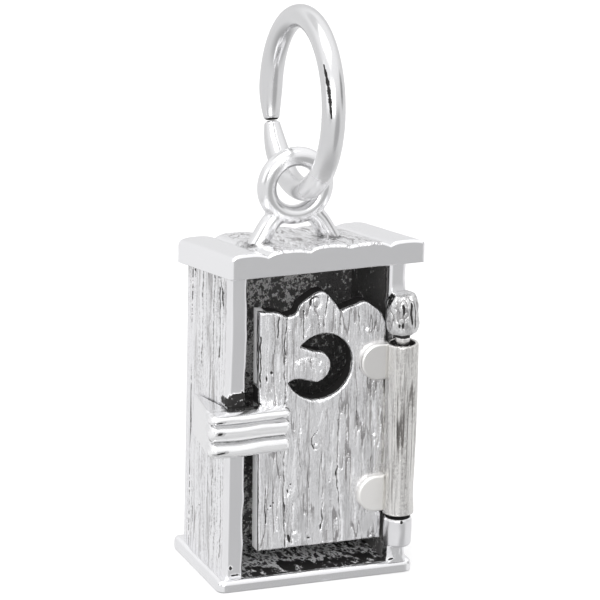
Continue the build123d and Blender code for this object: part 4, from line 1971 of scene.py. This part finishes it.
@dataclass
class Door:
    """Planks with the crescent, hinge plates and barrel."""

    lean: float = 0.12
    edge: float = 0.075
    left_valley: Point = (0.20, 0.87)
    right_valley: Point = (0.627, 0.82)
    left_top: Point = (0.12, 0.66)
    left_corner_drop: float = 0.57
    centre_top: tuple[Point, ...] = ((0.568, 0.41), (0.473, 0.0), (0.320, 0.38), (0.274, 0.75))
    right_top: tuple[Point, ...] = ((0.953, 1.03), (0.900, 0.80), (0.826, 0.56), (0.744, 0.65))
    shoulder: Point = (1.0, 1.45)
    crescent_offset: float = -0.145
    crescent_drop: float = 2.93
    crescent_radius: float = 1.29
    sweep: float = 75.0
    tip_upper: Point = (-0.78, 0.85)
    tip_lower: Point = (-1.24, -0.53)
    tongue_radius: float = 0.61
    tongue_offset: float = -0.18
    tongue_root: Point = (-0.90, 0.18)
    plate_edge: float = 0.085
    roll_width: float = 0.07
    roll_depth: float = 0.05
    latch_level: float = 7.55
    bore: float = 0.325
    mouth: float = 0.47
    mouth_depth: float = 0.38
    barrel_edge: float = 0.05
    barrel_rows: int = 150
    barrel_parts: int = 180

    def __post_init__(self) -> None:
        """Reads the places from the frame."""
        self.axis: Point = tuple(joint_place("door_hinge")[:2].tolist())
        centre = box_of("door_board_centre")
        self.left = box_of("door_board_left").left + self.lean
        self.right = box_of("door_board_right").right
        self.bottom = centre.bottom
        self.top = centre.top
        self.front = centre.front
        self.back = centre.back

    def spots(self, *places: Point) -> list[Point]:
        """X and Z of places, each given as a share of the width and a drop from the top."""
        width = self.right - self.left
        return [(self.left + share * width, self.top - drop) for share, drop in places]

    def outline(self) -> list[Point]:
        """Outline of the planks, anticlockwise, with the scalloped top.

        Returns:
            The points.
        """
        leaning = (self.left - self.lean, self.top - self.left_corner_drop)
        points = [(self.left, self.bottom), (self.right, self.bottom)]
        points += through(self.spots(self.shoulder, *self.right_top, self.right_valley))
        points += through(self.spots(self.right_valley, *self.centre_top, self.left_valley))[1:]
        points += through([*self.spots(self.left_valley, self.left_top), leaning])[1:]
        return points

    def crescent(self) -> list[Point]:
        """Outline of the crescent hole.

        Returns:
            The points.
        """
        centre = ((self.left + self.right) / 2 + self.crescent_offset, self.top - self.crescent_drop)
        upper = (centre[0] + self.tip_upper[0], centre[1] + self.tip_upper[1])
        lower = (centre[0] + self.tip_lower[0], centre[1] + self.tip_lower[1])
        tongue = (centre[0] + self.tongue_offset, centre[1])
        root = (centre[0] + self.tongue_root[0], centre[1] - self.tongue_radius + self.tongue_root[1])
        right = rim_point(centre, self.crescent_radius, 0)
        points = bend(upper, rim_point(centre, self.crescent_radius, self.sweep), right, 30)
        points += bend(right, rim_point(centre, self.crescent_radius, -self.sweep), lower, 36)[1:]
        points += through([lower, root, *arc(tongue, self.tongue_radius, -90, 90, 8), upper], 4)[1:-1]
        return points

    def rolled_edge(self, across: Array, along: Array) -> Array:
        """How the face rolls back along the door's free side; 0 away from that side.

        Args:
            across: X.
            along: Z.

        Returns:
            Heights, 0 or less.
        """
        leaning = self.lean * (along - self.bottom) / (self.top - self.bottom)
        share = np.clip(1 - (across - self.left + leaning) / self.roll_width, 0, 1)
        return -self.roll_depth * (1 - np.sqrt(1 - share**2))

    def build(self) -> list[bpy.types.Object]:
        """Makes the door's pieces.

        Returns:
            The pieces.
        """
        return [
            self.make_planks(),
            self.make_plate("hinge_plate_upper", 61, 0.34),
            self.make_plate("hinge_plate_lower", 63, 0.52),
            self.make_barrel(),
        ]

    def make_planks(self) -> bpy.types.Object:
        """The planks of the door, with the crescent through them.

        Returns:
            The piece.
        """
        sizes = (self.back - self.front, self.edge, 0.05, (0.036, 0.060))
        slab = Slab(self.outline(), *sizes, [self.crescent()], self.rolled_edge, 0.012, 65)
        noise = Unevenness(67)

        def side(across: Array, along: Array, depth: Array, number: int) -> Array:
            """Tarnish of the edges: the crescent's is black, the free side has a dark line.

            Args:
                across: First coordinate.
                along: Second coordinate.
                depth: How far down the edge, as a share.
                number: 0 for the outline, more for a hole.

            Returns:
                The tarnish.
            """
            if number:
                flecks = noise.layered(across * 6.0 + depth * 9, along * 6.0)
                return smooth(depth, 0.02, 0.16) * (1.25 - 0.5 * smooth(flecks, 0.35, 0.8))
            streak = noise.layered(depth * 5.0, along * 1.1)
            left = 1 - smooth(across, self.left + 0.1, self.left + 0.2)
            upper = smooth(along, self.top - 3.9, self.top - 3.3)
            crest = smooth(along, self.top - 1.4, self.top - 0.9) * (1 - left)
            near_latch = 1 - smooth(np.abs(along - self.latch_level), 0.25, 0.45)
            line = 1.2 * hump(depth - 0.10 + 0.05 * streak, 0.0, 0.09) * upper
            dark = np.maximum(line, near_latch)
            free_side = dark - 0.25 * (1 - np.minimum(dark, 1))
            return left * free_side + crest * smooth(depth, 0.05, 0.2)

        face = PlankFace(107, DOOR_MARKS, 0.014, 0.028, 0.034, 0.42)
        behind = PlankFace(109, MARKS_BEHIND, 0.010, 0.026, 0.020, 0.60)
        casting = Casting("door_planks")
        slab.build(casting, facing(1, self.front, -1), face, behind, side, (0, 1, 0))
        finishes = (PlankSilver(), SatinSilver("edge_silver"))
        nodes = ("door_board_left", "door_board_centre", "door_board_right")
        return casting.finish(Body.DOOR, Slot.PLANK, finishes, *nodes)

    def make_plate(self, node: str, seed: int, roughness: float) -> bpy.types.Object:
        """A half-round hinge plate, flat and plain.

        Args:
            node: The CAD node that it stands for.
            seed: Seed of its unevenness.
            roughness: Roughness of its face.

        Returns:
            The piece.
        """
        box = box_of(node)
        radius = (box.top - box.bottom) / 2
        middle = (box.top + box.bottom) / 2
        outline = arc((box.left + radius, middle), radius, 90, 270, 40)
        outline += [(self.right + 0.02, box.bottom), (self.right + 0.02, box.top)]
        thickness = box.back - box.front + 0.05
        slab = Slab(outline, thickness, self.plate_edge, 0.0, (0.05, 0.05), wobble=0.010, seed=seed)

        def side(across: Array, along: Array, depth: Array, number: int) -> Array:
            """Painted shade on the edge: darker at its foot, where it meets the door, and darker below the
            plate's middle.

            Args:
                across: First coordinate.
                along: Second coordinate.
                depth: How far down the edge, as a share.
                number: 0 for the outline, more for a hole.

            Returns:
                The tarnish.
            """
            # Painted shadow line at the edge's foot, and painted shade below the plate's middle.
            foot = smooth(depth, 0.50, 0.80)
            below = smooth(middle - along, -0.2, 0.4)
            return foot * (0.60 + 0.3 * below) - 0.25 * (1 - foot)

        casting = Casting(f"{node}_half_round")
        face, behind = FiledFace(seed, (), 0.004), FiledFace(seed + 1, (), 0.0)
        slab.build(casting, facing(1, box.front, -1), face, behind, side, (0, 1, 0))
        bright = (0.95, 0.94, 0.92, 1.0)
        finish = SatinSilver(f"{node}_silver", GrainRun.ACROSS, bright, roughness, 0.0006)
        # The edge finish is a darker copy of the face's silver: painted shade on the plate's sides.
        edge = SatinSilver(f"{node}_edge", GrainRun.ACROSS, (0.74, 0.73, 0.72, 1.0), 0.34)
        return casting.finish(Body.DOOR, Slot.SATIN, (finish, edge), node)

    def barrel_profile(self, radius: float, bottom: float, top: float) -> list[Point]:
        """Radius and height of the barrel's sections, from the bore down to the bore again.

        Args:
            radius: Outer radius.
            bottom: Height of its foot.
            top: Height of its mouth.

        Returns:
            The pairs.
        """
        bore, mouth, soft, rows = self.bore, self.mouth, self.barrel_edge, self.barrel_rows
        shelf = top - self.mouth_depth
        profile = [(bore, top - 1.2), (bore, shelf), (mouth, shelf), (mouth, top - 0.04)]
        profile += [(mouth + 0.015, top - 0.008), (mouth + 0.03, top), (radius - soft, top)]
        profile += [(radius - soft * 0.3, top - soft * 0.3), (radius, top - soft)]
        flank = top - bottom - 2 * soft
        profile += [(radius, top - soft - flank * step / rows) for step in range(1, rows + 1)]
        profile += [(radius - soft * 0.3, bottom + soft * 0.3), (radius - soft, bottom)]
        return [*profile, (bore, bottom), (bore, bottom + 1.0)]

    def make_barrel(self) -> bpy.types.Object:
        """The barrel: upright lines outside, an opened mouth and the bore.

        Returns:
            The piece.
        """
        box = box_of("hinge_barrel")
        radius = box.right - self.axis[0]
        noise = Unevenness(69)

        def cuts(girth: Array, level: Array) -> Array:
            """The deepest of the upright lines."""
            return np.clip(1 - np.abs(noise.at(girth * 3.4 + 20, level * 0.22)) / 0.16, 0, 1)

        def shape(reach: Array, turns: Array, level: Array) -> Array:
            """Radius of the barrel, lined outside.

            Args:
                reach: Radius so far.
                turns: Angle.
                level: Height.

            Returns:
                The radius.
            """
            outside = smooth(reach, radius - 0.02, radius - 0.005)
            girth = turns * radius
            line = noise.layered(girth * 6.2, level * 0.34, 2)
            return reach + outside * (0.024 * line - 0.040 * cuts(girth, level) - 0.012)

        profile = self.barrel_profile(radius, box.bottom, box.top)
        sections = turned(self.axis, profile, self.barrel_parts, shape)
        level = sections[:, :, 2]
        girth = np.broadcast_to(circle(self.barrel_parts) * radius, level.shape)
        tarnish = 0.42 * cuts(girth, level) ** 2 * smooth(noise.at(girth * 2.0, level * 0.5 + 9), -0.4, 0.3)
        tarnish[[reach < self.mouth + 0.005 for reach, _ in profile]] = 1.2
        casting = Casting("hinge_barrel_tube")
        loft(casting, sections, tarnish, caps=False)
        left, right = self.right - 0.03, self.axis[0] - self.bore - 0.04
        bottom, top = box.bottom, box.top - 0.1
        outline = [(left, bottom), (right, bottom), (right, top), (left, top)]
        web = Slab(outline, 0.24, 0.03, 0.03, (0.08, 0.15), wobble=0.0, seed=71)
        faces = FiledFace(71, (), 0.004), FiledFace(72, (), 0.004)
        web.build(casting, facing(1, self.front + 0.02, -1), *faces)
        bright = (0.82, 0.81, 0.79, 1.0)
        dull = (0.20, 0.19, 0.18, 1.0)
        finish = PlankSilver("barrel_silver", GrainRun.STRAIGHT, bright, dull, 0.075, 1.0, 1.0, 4.5, 0.34)
        return casting.finish(Body.DOOR, Slot.PLANK, (finish,), "hinge_barrel")


# ---------------------------------------------------------------------------------------------
# Latch
# ---------------------------------------------------------------------------------------------


@dataclass(frozen=True)
class Rib:
    """A rib of the latch: how far its middle hangs and how much further its lower half reaches."""

    node: str
    sag: float
    reach: float
    marks: tuple[Mark, ...]


@dataclass
class Latch:
    """Three ribs across the jamb and a smooth arm along the left wall."""

    ribs: tuple[Rib, ...] = (
        Rib("latch_rib_top", 0.02, 0.04, (
            Pit((-4.16, 7.05), 0.15, 0.035, 3, 0.02, 1.4),
            Pit((-1.75, 7.00), 0.22, 0.03, 2, 0.02, 0.9),
        )),
        Rib("latch_rib_middle", 0.04, 0.22, (Pit((-4.14, 6.62), 0.12, 0.045, 0, 0.02, 1.6),)),
        Rib("latch_rib_bottom", 0.05, 0.02, (Pit((-4.10, 5.86), 0.20, 0.035, 6, 0.02, 1.4),)),
    )
    sections: int = 120
    rib_points: int = 48
    round_end: float = 0.24
    arm_inset: float = 0.08
    arm_end: float = 0.16
    arm_fall: float = 0.52

    def __post_init__(self) -> None:
        """Reads the places from the frame."""
        self.body = box_of("latch_body")
        self.arm = box_of("latch_arm")

    def build(self) -> list[bpy.types.Object]:
        """Makes the ribs and the arm."""
        return [self.make_ribs(), self.make_arm()]

    def add_rib(self, casting: Casting, rib: Rib) -> None:
        """Adds a rib: a flattened rod with round ends, which sags a little.

        Args:
            casting: The casting.
            rib: The rib.
        """
        box = box_of(rib.node)
        length = box.right - box.left
        middle = (box.bottom + box.top) / 2
        half = (box.top - box.bottom) / 2 + 0.03
        seat = box.back + 0.12
        depth = seat - box.front
        noise = Unevenness(int(abs(middle) * 10))
        turns = circle(self.rib_points)
        out = np.abs(np.cos(turns)) ** 1.10 * np.sign(np.cos(turns))
        rise = np.abs(np.sin(turns)) ** 0.98 * np.sign(np.sin(turns))
        crest = 1 - 0.10 * np.clip(-rise, 0, 1)
        sections = []
        for share in [0.5 - 0.5 * cos(pi * step / self.sections) for step in range(self.sections + 1)]:
            from_end = min(share, 1 - share) * length
            swell = sqrt(max(0.0, 1 - (1 - min(1.0, from_end / self.round_end)) ** 2))
            across = np.full_like(turns, box.left + length * share)
            hang = rib.sag * sin(pi * min(1.0, share * 1.35)) ** 2 * (1 - share * 0.3)
            wave = 0.016 * noise.layered(across * 1.3, turns * 1.2, 2)
            depths = seat - depth * out * (0.30 + 0.70 * swell) * crest - wave
            heights = middle - hang + (half + rib.reach * (rise < 0)) * rise * (0.28 + 0.72 * swell)
            sections.append(np.stack((across, depths, heights), axis=1))
        made = np.array(sections)
        flat = np.zeros(made.shape[:2])
        relief = Relief(made[:, :, 0], made[:, :, 2], flat.copy(), flat.copy())
        for mark in rib.marks:
            mark.apply(relief)
        # Painted shade: a dark line along each rib's underside, where it meets the rib below, stored as
        # tarnish.
        valley = smooth(-np.sin(turns), 0.80, 0.90)
        milky = -0.20 * np.exp(-((np.sin(turns + 0.15) / 0.92) ** 4))
        film = np.where(valley > 0.1, 0.55 * valley, milky)
        tarnish = np.where(relief.tarnish > 0.1, relief.tarnish, film)
        in_front = made[:, :, 1] < seat - 0.05
        made[:, :, 1] -= relief.height * in_front
        loft(casting, made, tarnish * in_front)

    def make_ribs(self) -> bpy.types.Object:
        """The block with its three ribs.

        Returns:
            The piece.
        """
        body = self.body
        front = box_of(self.ribs[0].node).back - 0.03
        pad_left = box_of("door_board_left").left + 0.14
        left, right = body.left + 0.13, body.right - 0.03
        places = [left, left + 0.012, left + 0.05]
        places += [left + 0.05 + (right - left - 0.10) * step / 90 for step in range(1, 90)]
        places += [right - 0.05, right - 0.012, right]
        sections = []
        film = []
        for number, across in enumerate(places):
            tight = (0.07, 0.02, 0.0)[min(number, len(places) - 1 - number, 2)]
            back = body.back - 0.01 if across > pad_left else self.arm.front
            bottom, top = body.bottom + 0.03 + tight, body.top - 0.02 - tight
            corners = [(front + tight, bottom), (back, bottom), (back, top), (front + tight, top)]
            ring = np.array(rounded(corners, 0.06, 4))
            sections.append(np.insert(ring, 0, across, axis=1))
            on_jamb = (abs(across + 2.75) < 0.42) * (ring[:, 1] > 7.0)
            film.append(0.9 * smooth(ring[:, 0], -2.75, -2.55) * on_jamb)
        casting = Casting("latch_ribs")
        loft(casting, np.array(sections), np.array(film))
        for rib in self.ribs:
            self.add_rib(casting, rib)
        nodes = ("latch_body", *(rib.node for rib in self.ribs))
        finish = PolishedSilver("latch_silver", (0.87, 0.87, 0.875, 1.0), 0.13)
        return casting.finish(Body.DOOR, Slot.POLISHED, (finish,), *nodes)

    def make_arm(self) -> bpy.types.Object:
        """The arm, tapered to its end.

        Returns:
            The piece.
        """
        arm = self.arm
        front = self.body.front + 0.03
        places = [front, front + 0.01, front + 0.04, front + 0.09]
        places += [front + 0.09 + (arm.back - front - 0.15) * step / 60 for step in range(1, 61)]
        places += [arm.back - 0.03, arm.back - 0.01, arm.back]
        pinches = [0.10, 0.05, 0.015, *[0.0] * 61, 0.015, 0.035, 0.07]
        sections = []
        for place, pinch in zip(places, pinches):
            share = max(0.0, (place - arm.front) / (arm.back - arm.front))
            taper = (arm.right - self.arm_end - self.arm_inset - arm.left) * share
            outside, inside = arm.left + self.arm_inset + taper + pinch, arm.right - pinch * 0.5
            upper = arm.top - self.arm_fall * share - pinch
            lower = self.body.bottom + (arm.bottom - self.body.bottom) * share + pinch
            corners = [(outside, lower), (inside, lower), (inside, upper), (outside, upper)]
            ring = rounded(corners, min(0.10, (inside - outside) * 0.45), 6)
            sections.append([(x, place, z) for x, z in ring])
        made = np.array(sections)
        made[:, :, 0] -= 0.010 * Unevenness(83).layered(made[:, :, 1] * 1.2, made[:, :, 2] * 1.2, 2)
        tarnish = np.zeros(made.shape[:2])
        # Painted shadow: a dark line on the arm's front just under each of the upper two ribs, outlining the
        # rib ends; stored as tarnish.
        for level in [box_of(rib.node).bottom for rib in self.ribs[:2]]:
            valley = hump(made[:, :, 2] - level + 0.03, 0.0, 0.035)
            at_front = 1 - smooth(made[:, :, 1], front + 0.03, front + 0.14)
            tarnish = np.maximum(tarnish, 0.62 * valley * at_front)
        casting = Casting("latch_arm_band")
        loft(casting, made, tarnish)
        finish = PolishedSilver("arm_silver", (0.93, 0.93, 0.935, 1.0), 0.20)
        return casting.finish(Body.DOOR, Slot.POLISHED, (finish,), "latch_arm")


# ---------------------------------------------------------------------------------------------
# Bail and jump ring
# ---------------------------------------------------------------------------------------------

TO_BACK = np.array((0.0, 1.0, 0.0))


@dataclass
class Bail:
    """Upright wire eye on two splayed legs, cast in one with soft joins."""

    wire: float = 0.38
    splay: float = 1.50
    leg_start: float = 62.0
    knee: Point = (0.86, 1.22)
    voxel: float = 0.045
    softening: int = 14

    def __post_init__(self) -> None:
        """Reads the places from the frame."""
        self.eye = joint_place("ring_tilt")
        self.box = box_of("bail_loop")
        self.radius = self.box.top - float(self.eye[2]) - self.wire

    def tube(self, path: list[Array], widths: list[float], parts: int = 28) -> tuple[Array, Faces]:
        """Tube along a path in the plane of the eye.

        Args:
            path: Points of its middle line.
            widths: Its radius at each point.
            parts: How many points go round.

        Returns:
            Points and faces.
        """
        turns = circle(parts)[:, None]
        rings = []
        for number, (point, width) in enumerate(zip(path, widths)):
            run = path[min(number + 1, len(path) - 1)] - path[max(number - 1, 0)]
            beside = np.cross(run / np.linalg.norm(run), TO_BACK)
            rings.append(point + width * (np.cos(turns) * beside + np.sin(turns) * TO_BACK))
        end = (len(path) - 1) * parts
        ends = [tuple(range(parts))[::-1], tuple(range(end, end + parts))]
        return np.vstack(rings), quads(len(path), parts) + ends

    def leg(self, side: int) -> tuple[Array, Faces]:
        """A leg, from the eye to its foot on the roof.

        Args:
            side: -1 for the left leg, 1 for the right one.

        Returns:
            Points and faces.
        """
        x, y, z = self.eye.tolist()
        turn = radians(self.leg_start)
        start = (x + self.radius * (side * cos(turn)), z + self.radius * -sin(turn))
        knee = (x + side * self.radius * self.knee[0], z - self.radius * self.knee[1])
        foot = (x + side * (self.splay + 0.02), self.box.bottom + 0.05)
        path = [np.array((across, y, level)) for across, level in through([start, knee, foot], 12)]
        widths = [self.wire * (0.92 + 0.10 * number / len(path)) for number in range(len(path))]
        return self.tube(path, widths)

    def fused(self, shapes: list[tuple[Array, Faces]]) -> tuple[Array, Faces]:
        """Fuses tubes into one skin with soft joins.

        Args:
            shapes: Points and faces of each tube.

        Returns:
            Points and faces of the skin.
        """
        points: list[list[float]] = []
        faces: Faces = []
        for shape_points, shape_faces in shapes:
            faces += [tuple(corner + len(points) for corner in face) for face in shape_faces]
            points += shape_points.tolist()
        mesh = bpy.data.meshes.new("bail_shape")
        mesh.from_pydata(points, [], faces)
        shape = show("bail_shape", mesh)
        fuse = shape.modifiers.new("fuse", "REMESH")
        fuse.mode = "VOXEL"
        fuse.voxel_size = self.voxel
        soften = shape.modifiers.new("soften", "SMOOTH")
        soften.factor = 0.5
        soften.iterations = self.softening
        graph = bpy.context.evaluated_depsgraph_get()
        skin = bpy.data.meshes.new_from_object(shape.evaluated_get(graph))
        made = np.array([tuple(vertex.co) for vertex in skin.vertices])
        made_faces = [tuple(polygon.vertices) for polygon in skin.polygons]
        bpy.data.objects.remove(shape)
        bpy.data.meshes.remove(mesh)
        bpy.data.meshes.remove(skin)
        return made, made_faces

    def build(self) -> list[bpy.types.Object]:
        """Makes the bail: eye and legs fused, then smoothed, black at the feet.

        Returns:
            The piece, in a list.
        """
        turns = np.linspace(0, 2 * pi, 97)
        ring = [self.eye + self.radius * np.array((cos(turn), 0.0, sin(turn))) for turn in turns]
        halves = [self.tube(half, [self.wire * 0.97] * len(half)) for half in (ring[:50], ring[48:])]
        made, faces = self.fused([*halves, self.leg(-1), self.leg(1)])
        ragged = made[:, 2] + 0.12 * Unevenness(91).layered(made[:, 0] * 2, made[:, 1] * 2)
        low = made[:, 2].min()
        casting = Casting("bail_eye")
        casting.add(made, faces, 0.9 * (1 - smooth(ragged, low + 0.25, low + 0.55)))
        finish = PolishedSilver("bail_silver", (0.84, 0.84, 0.845, 1.0), 0.15)
        return [casting.finish(Body.HOUSE, Slot.POLISHED, (finish,), "bail_loop")]


@dataclass
class JumpRing:
    """Round wire ring, cut at the back and pinched at the cut."""

    wire: float = 0.44
    lean: float = 3.3
    cut: float = -28.0
    gap: float = 1.4
    pinch: float = 0.34
    pinch_reach: float = 23.0
    round_end: float = 1.6
    rows: int = 420
    parts: int = 56
    # Ends of the painted dark reflection: degrees on the ring and degrees round the wire.
    painted_reflection_start: Point = (140.0, 307.0)
    painted_reflection_end: Point = (174.0, 328.0)

    def film(self, degrees: float, from_cut: float) -> Array:
        """Tarnish round the wire: black in the cut, a painted dark reflection as a streak inside, and milky
        below.

        Args:
            degrees: Where the section stands on the ring.
            from_cut: How far it is from the cut, in degrees.

        Returns:
            The tarnish of the section's points.
        """
        around = circle(self.parts)
        film = np.zeros(self.parts) + (1.3 if from_cut < 0.15 else 0.0)
        # Painted reflection: a dark streak along the wire, stored as tarnish.
        start, end = self.painted_reflection_start, self.painted_reflection_end
        along = (degrees % 360 - start[0]) / (end[0] - start[0])
        if 0 < along < 1:
            middle = start[1] + (end[1] - start[1]) * along
            width = 8.0 * sin(pi * along) ** 0.5 * (1 + 0.55 * sin(along * 83.0) * sin(along * 47.0))
            film = np.maximum(film, 1.4 * hump(np.degrees(around), middle, width))
        from_bottom = (degrees % 360 - 232.0) / 34.0
        return np.where(film > 0.1, film, -0.22 * np.exp(-(from_bottom**2)))

    def build(self) -> list[bpy.types.Object]:
        """Makes the ring.

        Returns:
            The piece, in a list.
        """
        box = box_of("jump_ring")
        low, high = np.array((box.left, box.front, box.bottom)), np.array((box.right, box.back, box.top))
        centre = (low + high) / 2
        radius = (box.back - box.front) / 2 - self.wire
        lean = radians(self.lean)
        side = np.array((cos(lean), 0.0, -sin(lean)))
        rise = np.array((sin(lean), 0.0, cos(lean)))
        around = circle(self.parts)[:, None]
        length = 360 - self.gap
        sections = []
        tarnish = []
        for share in [row / self.rows for row in range(self.rows + 1)]:
            degrees = self.cut + self.gap / 2 + length * share
            from_cut = min(share, 1 - share) * length
            grip = 1 - min(1.0, from_cut / self.pinch_reach)
            end = sqrt(max(0.0, 1 - (1 - min(1.0, from_cut / self.round_end)) ** 2))
            narrow = (1 - self.pinch * grip**1.6) * (0.72 + 0.28 * end)
            out = TO_BACK * cos(radians(degrees)) + rise * sin(radians(degrees))
            flat = 1 - 0.16 * grip
            wire = self.wire * narrow * (np.cos(around) * out * flat + np.sin(around) * side)
            sections.append(centre + out * radius + wire)
            tarnish.append(self.film(degrees, from_cut))
        casting = Casting("jump_ring_wire")
        loft(casting, np.array(sections), np.array(tarnish))
        finish = PolishedSilver("ring_silver", (0.74, 0.74, 0.745, 1.0), 0.15)
        return [casting.finish(Body.RING, Slot.POLISHED, (finish,), "jump_ring")]


# ---------------------------------------------------------------------------------------------
# Studio
# ---------------------------------------------------------------------------------------------


@dataclass(frozen=True)
class SoftBox:
    """A square lamp that points at the charm."""

    name: str
    place: Place
    size: float
    watts: float


@dataclass(frozen=True)
class Screen:
    """A grey screen in the white surroundings, which shows only in what the metal mirrors."""

    towards: Place
    edge: float
    core: float
    depth: float


@dataclass
class Studio:
    """Pale floor, soft light, white surroundings and the camera."""

    azimuth: float = 21.289
    elevation: float = 18.606
    roll: float = 1.313
    aim: Place = (0.162, 0.0, 10.373)
    distance: float = 200.0
    lens: float = 320.4
    floor_radius: float = 2000.0
    boxes: tuple[SoftBox, ...] = (
        SoftBox("top_box", (-20.0, -10.0, 160.0), 120.0, 0.055),
        SoftBox("left_box", (-150.0, -30.0, 60.0), 90.0, 0.012),
        SoftBox("front_box", (-88.0, -226.0, 104.0), 150.0, 0.23),
    )
    screens: tuple[Screen, ...] = (
        Screen((0.344, -0.883, -0.319), 0.86, 0.97, 0.41),
        Screen((0.93, -0.30, 0.20), 0.955, 0.985, 0.60),
        Screen((-0.75, -0.62, 0.20), 0.93, 0.99, 0.40),
        Screen((0.40, 0.91, 0.05), 0.80, 0.95, 0.10),
        Screen((-0.20, 0.55, 0.81), 0.90, 0.98, 0.25),
    )

    def build(self) -> None:
        """Sets up the camera, the floor, the world and the lamps."""
        bpy.context.scene.view_settings.view_transform = "Standard"
        self.make_camera()
        self.make_floor()
        self.make_world()
        for box in self.boxes:
            self.make_lamp(box)

    def make_camera(self) -> None:
        """Camera at the height and side from which the charm is seen."""
        across, up, roll = radians(self.azimuth), radians(self.elevation), radians(self.roll)
        back = Vector((-sin(across) * cos(up), -cos(across) * cos(up), sin(up)))
        right = Vector((cos(across), -sin(across), 0.0))
        top = back.cross(right)
        tilted_right = cos(roll) * right + sin(roll) * top
        tilted_top = cos(roll) * top - sin(roll) * right
        matrix = Matrix((tilted_right, tilted_top, back)).transposed().to_4x4()
        matrix.translation = (Vector(self.aim) + back * self.distance) * METRES
        lens = bpy.data.cameras.new("camera")
        lens.lens = self.lens
        lens.sensor_width = 36.0
        lens.clip_start = 0.001
        camera = show("camera", lens)
        camera.matrix_world = matrix
        bpy.context.scene.camera = camera

    def make_floor(self) -> None:
        """Large pale disc that keeps the charm's shadow and isn't mirrored in it."""
        radius = self.floor_radius * METRES
        points = [(radius * cos(turn), radius * sin(turn), -0.00001) for turn in circle(128)]
        mesh = bpy.data.meshes.new("floor")
        mesh.from_pydata(points, [], [tuple(range(128))])
        material = bpy.data.materials.new("floor_paper")
        shader = ShaderTree(material)
        paper = shader.node("BsdfDiffuse", {"Color": (0.86, 0.86, 0.86, 1.0)})
        lift = shader.node("Emission", {"Color": (1.0, 1.0, 1.0, 1.0), "Strength": 0.16})
        pale = shader.node("AddShader", {0: paper, 1: lift})
        clear = shader.node("BsdfTransparent")
        mirrored = shader.node("LightPath", output="Is Glossy Ray")
        through_glass = shader.node("LightPath", output="Is Transmission Ray")
        mixed = shader.node("MixShader", {0: mirrored.highest(through_glass), 1: pale, 2: clear})
        shader.node("OutputMaterial", {"Surface": mixed})
        mesh.materials.append(material)
        show("floor", mesh)

    def make_world(self) -> None:
        """White surroundings; what the metal mirrors is white with a grey screen in front."""
        world = bpy.data.worlds.new("tent")
        bpy.context.scene.world = world
        shader = ShaderTree(world)
        direction = shader.node("TexCoord", output="Generated")
        split = shader.node("SeparateXYZ", {"Vector": direction}, "Z")
        above = shader.step(split, 0.10, 0.75)
        below = shader.step(0.0 - split, 0.45, 0.95)
        level = (above * 0.26 + 0.87) * (1.0 - below * 0.45)
        for screen in self.screens:
            towards = {0: direction, 1: screen.towards}
            nearness = shader.node("VectorMath", towards, "Value", operation="DOT_PRODUCT")
            level = level * (1.0 - shader.step(nearness, screen.edge, screen.core) * screen.depth)
        mirrored = shader.node("LightPath", output="Is Glossy Ray")
        seen = shader.node("Background", {"Color": (1.0, 1.0, 1.0, 1.0), "Strength": 1.0})
        tone = shader.node("CombineXYZ", {0: level, 1: level, 2: level * 1.01})
        tent = shader.node("Background", {"Color": tone, "Strength": 1.0})
        plain = shader.node("MixShader", {0: mirrored, 1: seen, 2: tent})
        shader.node("OutputWorld", {"Surface": plain})

    def make_lamp(self, box: SoftBox) -> None:
        """One soft box.

        Args:
            box: Its name, place, size and power.
        """
        lamp = bpy.data.lights.new(box.name, "AREA")
        lamp.shape = "SQUARE"
        lamp.size = box.size * METRES
        lamp.energy = box.watts
        made = show(box.name, lamp)
        place = Vector(box.place) * METRES
        target = Vector((0.0, 0.0, 10.0)) * METRES
        made.location = place
        made.rotation_euler = (place - target).to_track_quat("Z", "Y").to_euler()


def main() -> None:
    """Builds the charm, piece by piece, and the studio round it."""
    logging.basicConfig(level=logging.INFO, format="%(name)s: %(message)s")
    Studio().build()
    for assembly in (Walls(), Roof(), HingePosts(), Door(), Latch(), Bail(), JumpRing()):
        for piece in assembly.build():
            log.info("%s: %s, %d faces", type(assembly).__name__, piece.name, len(piece.data.polygons))


if __name__ == "__main__":
    main()
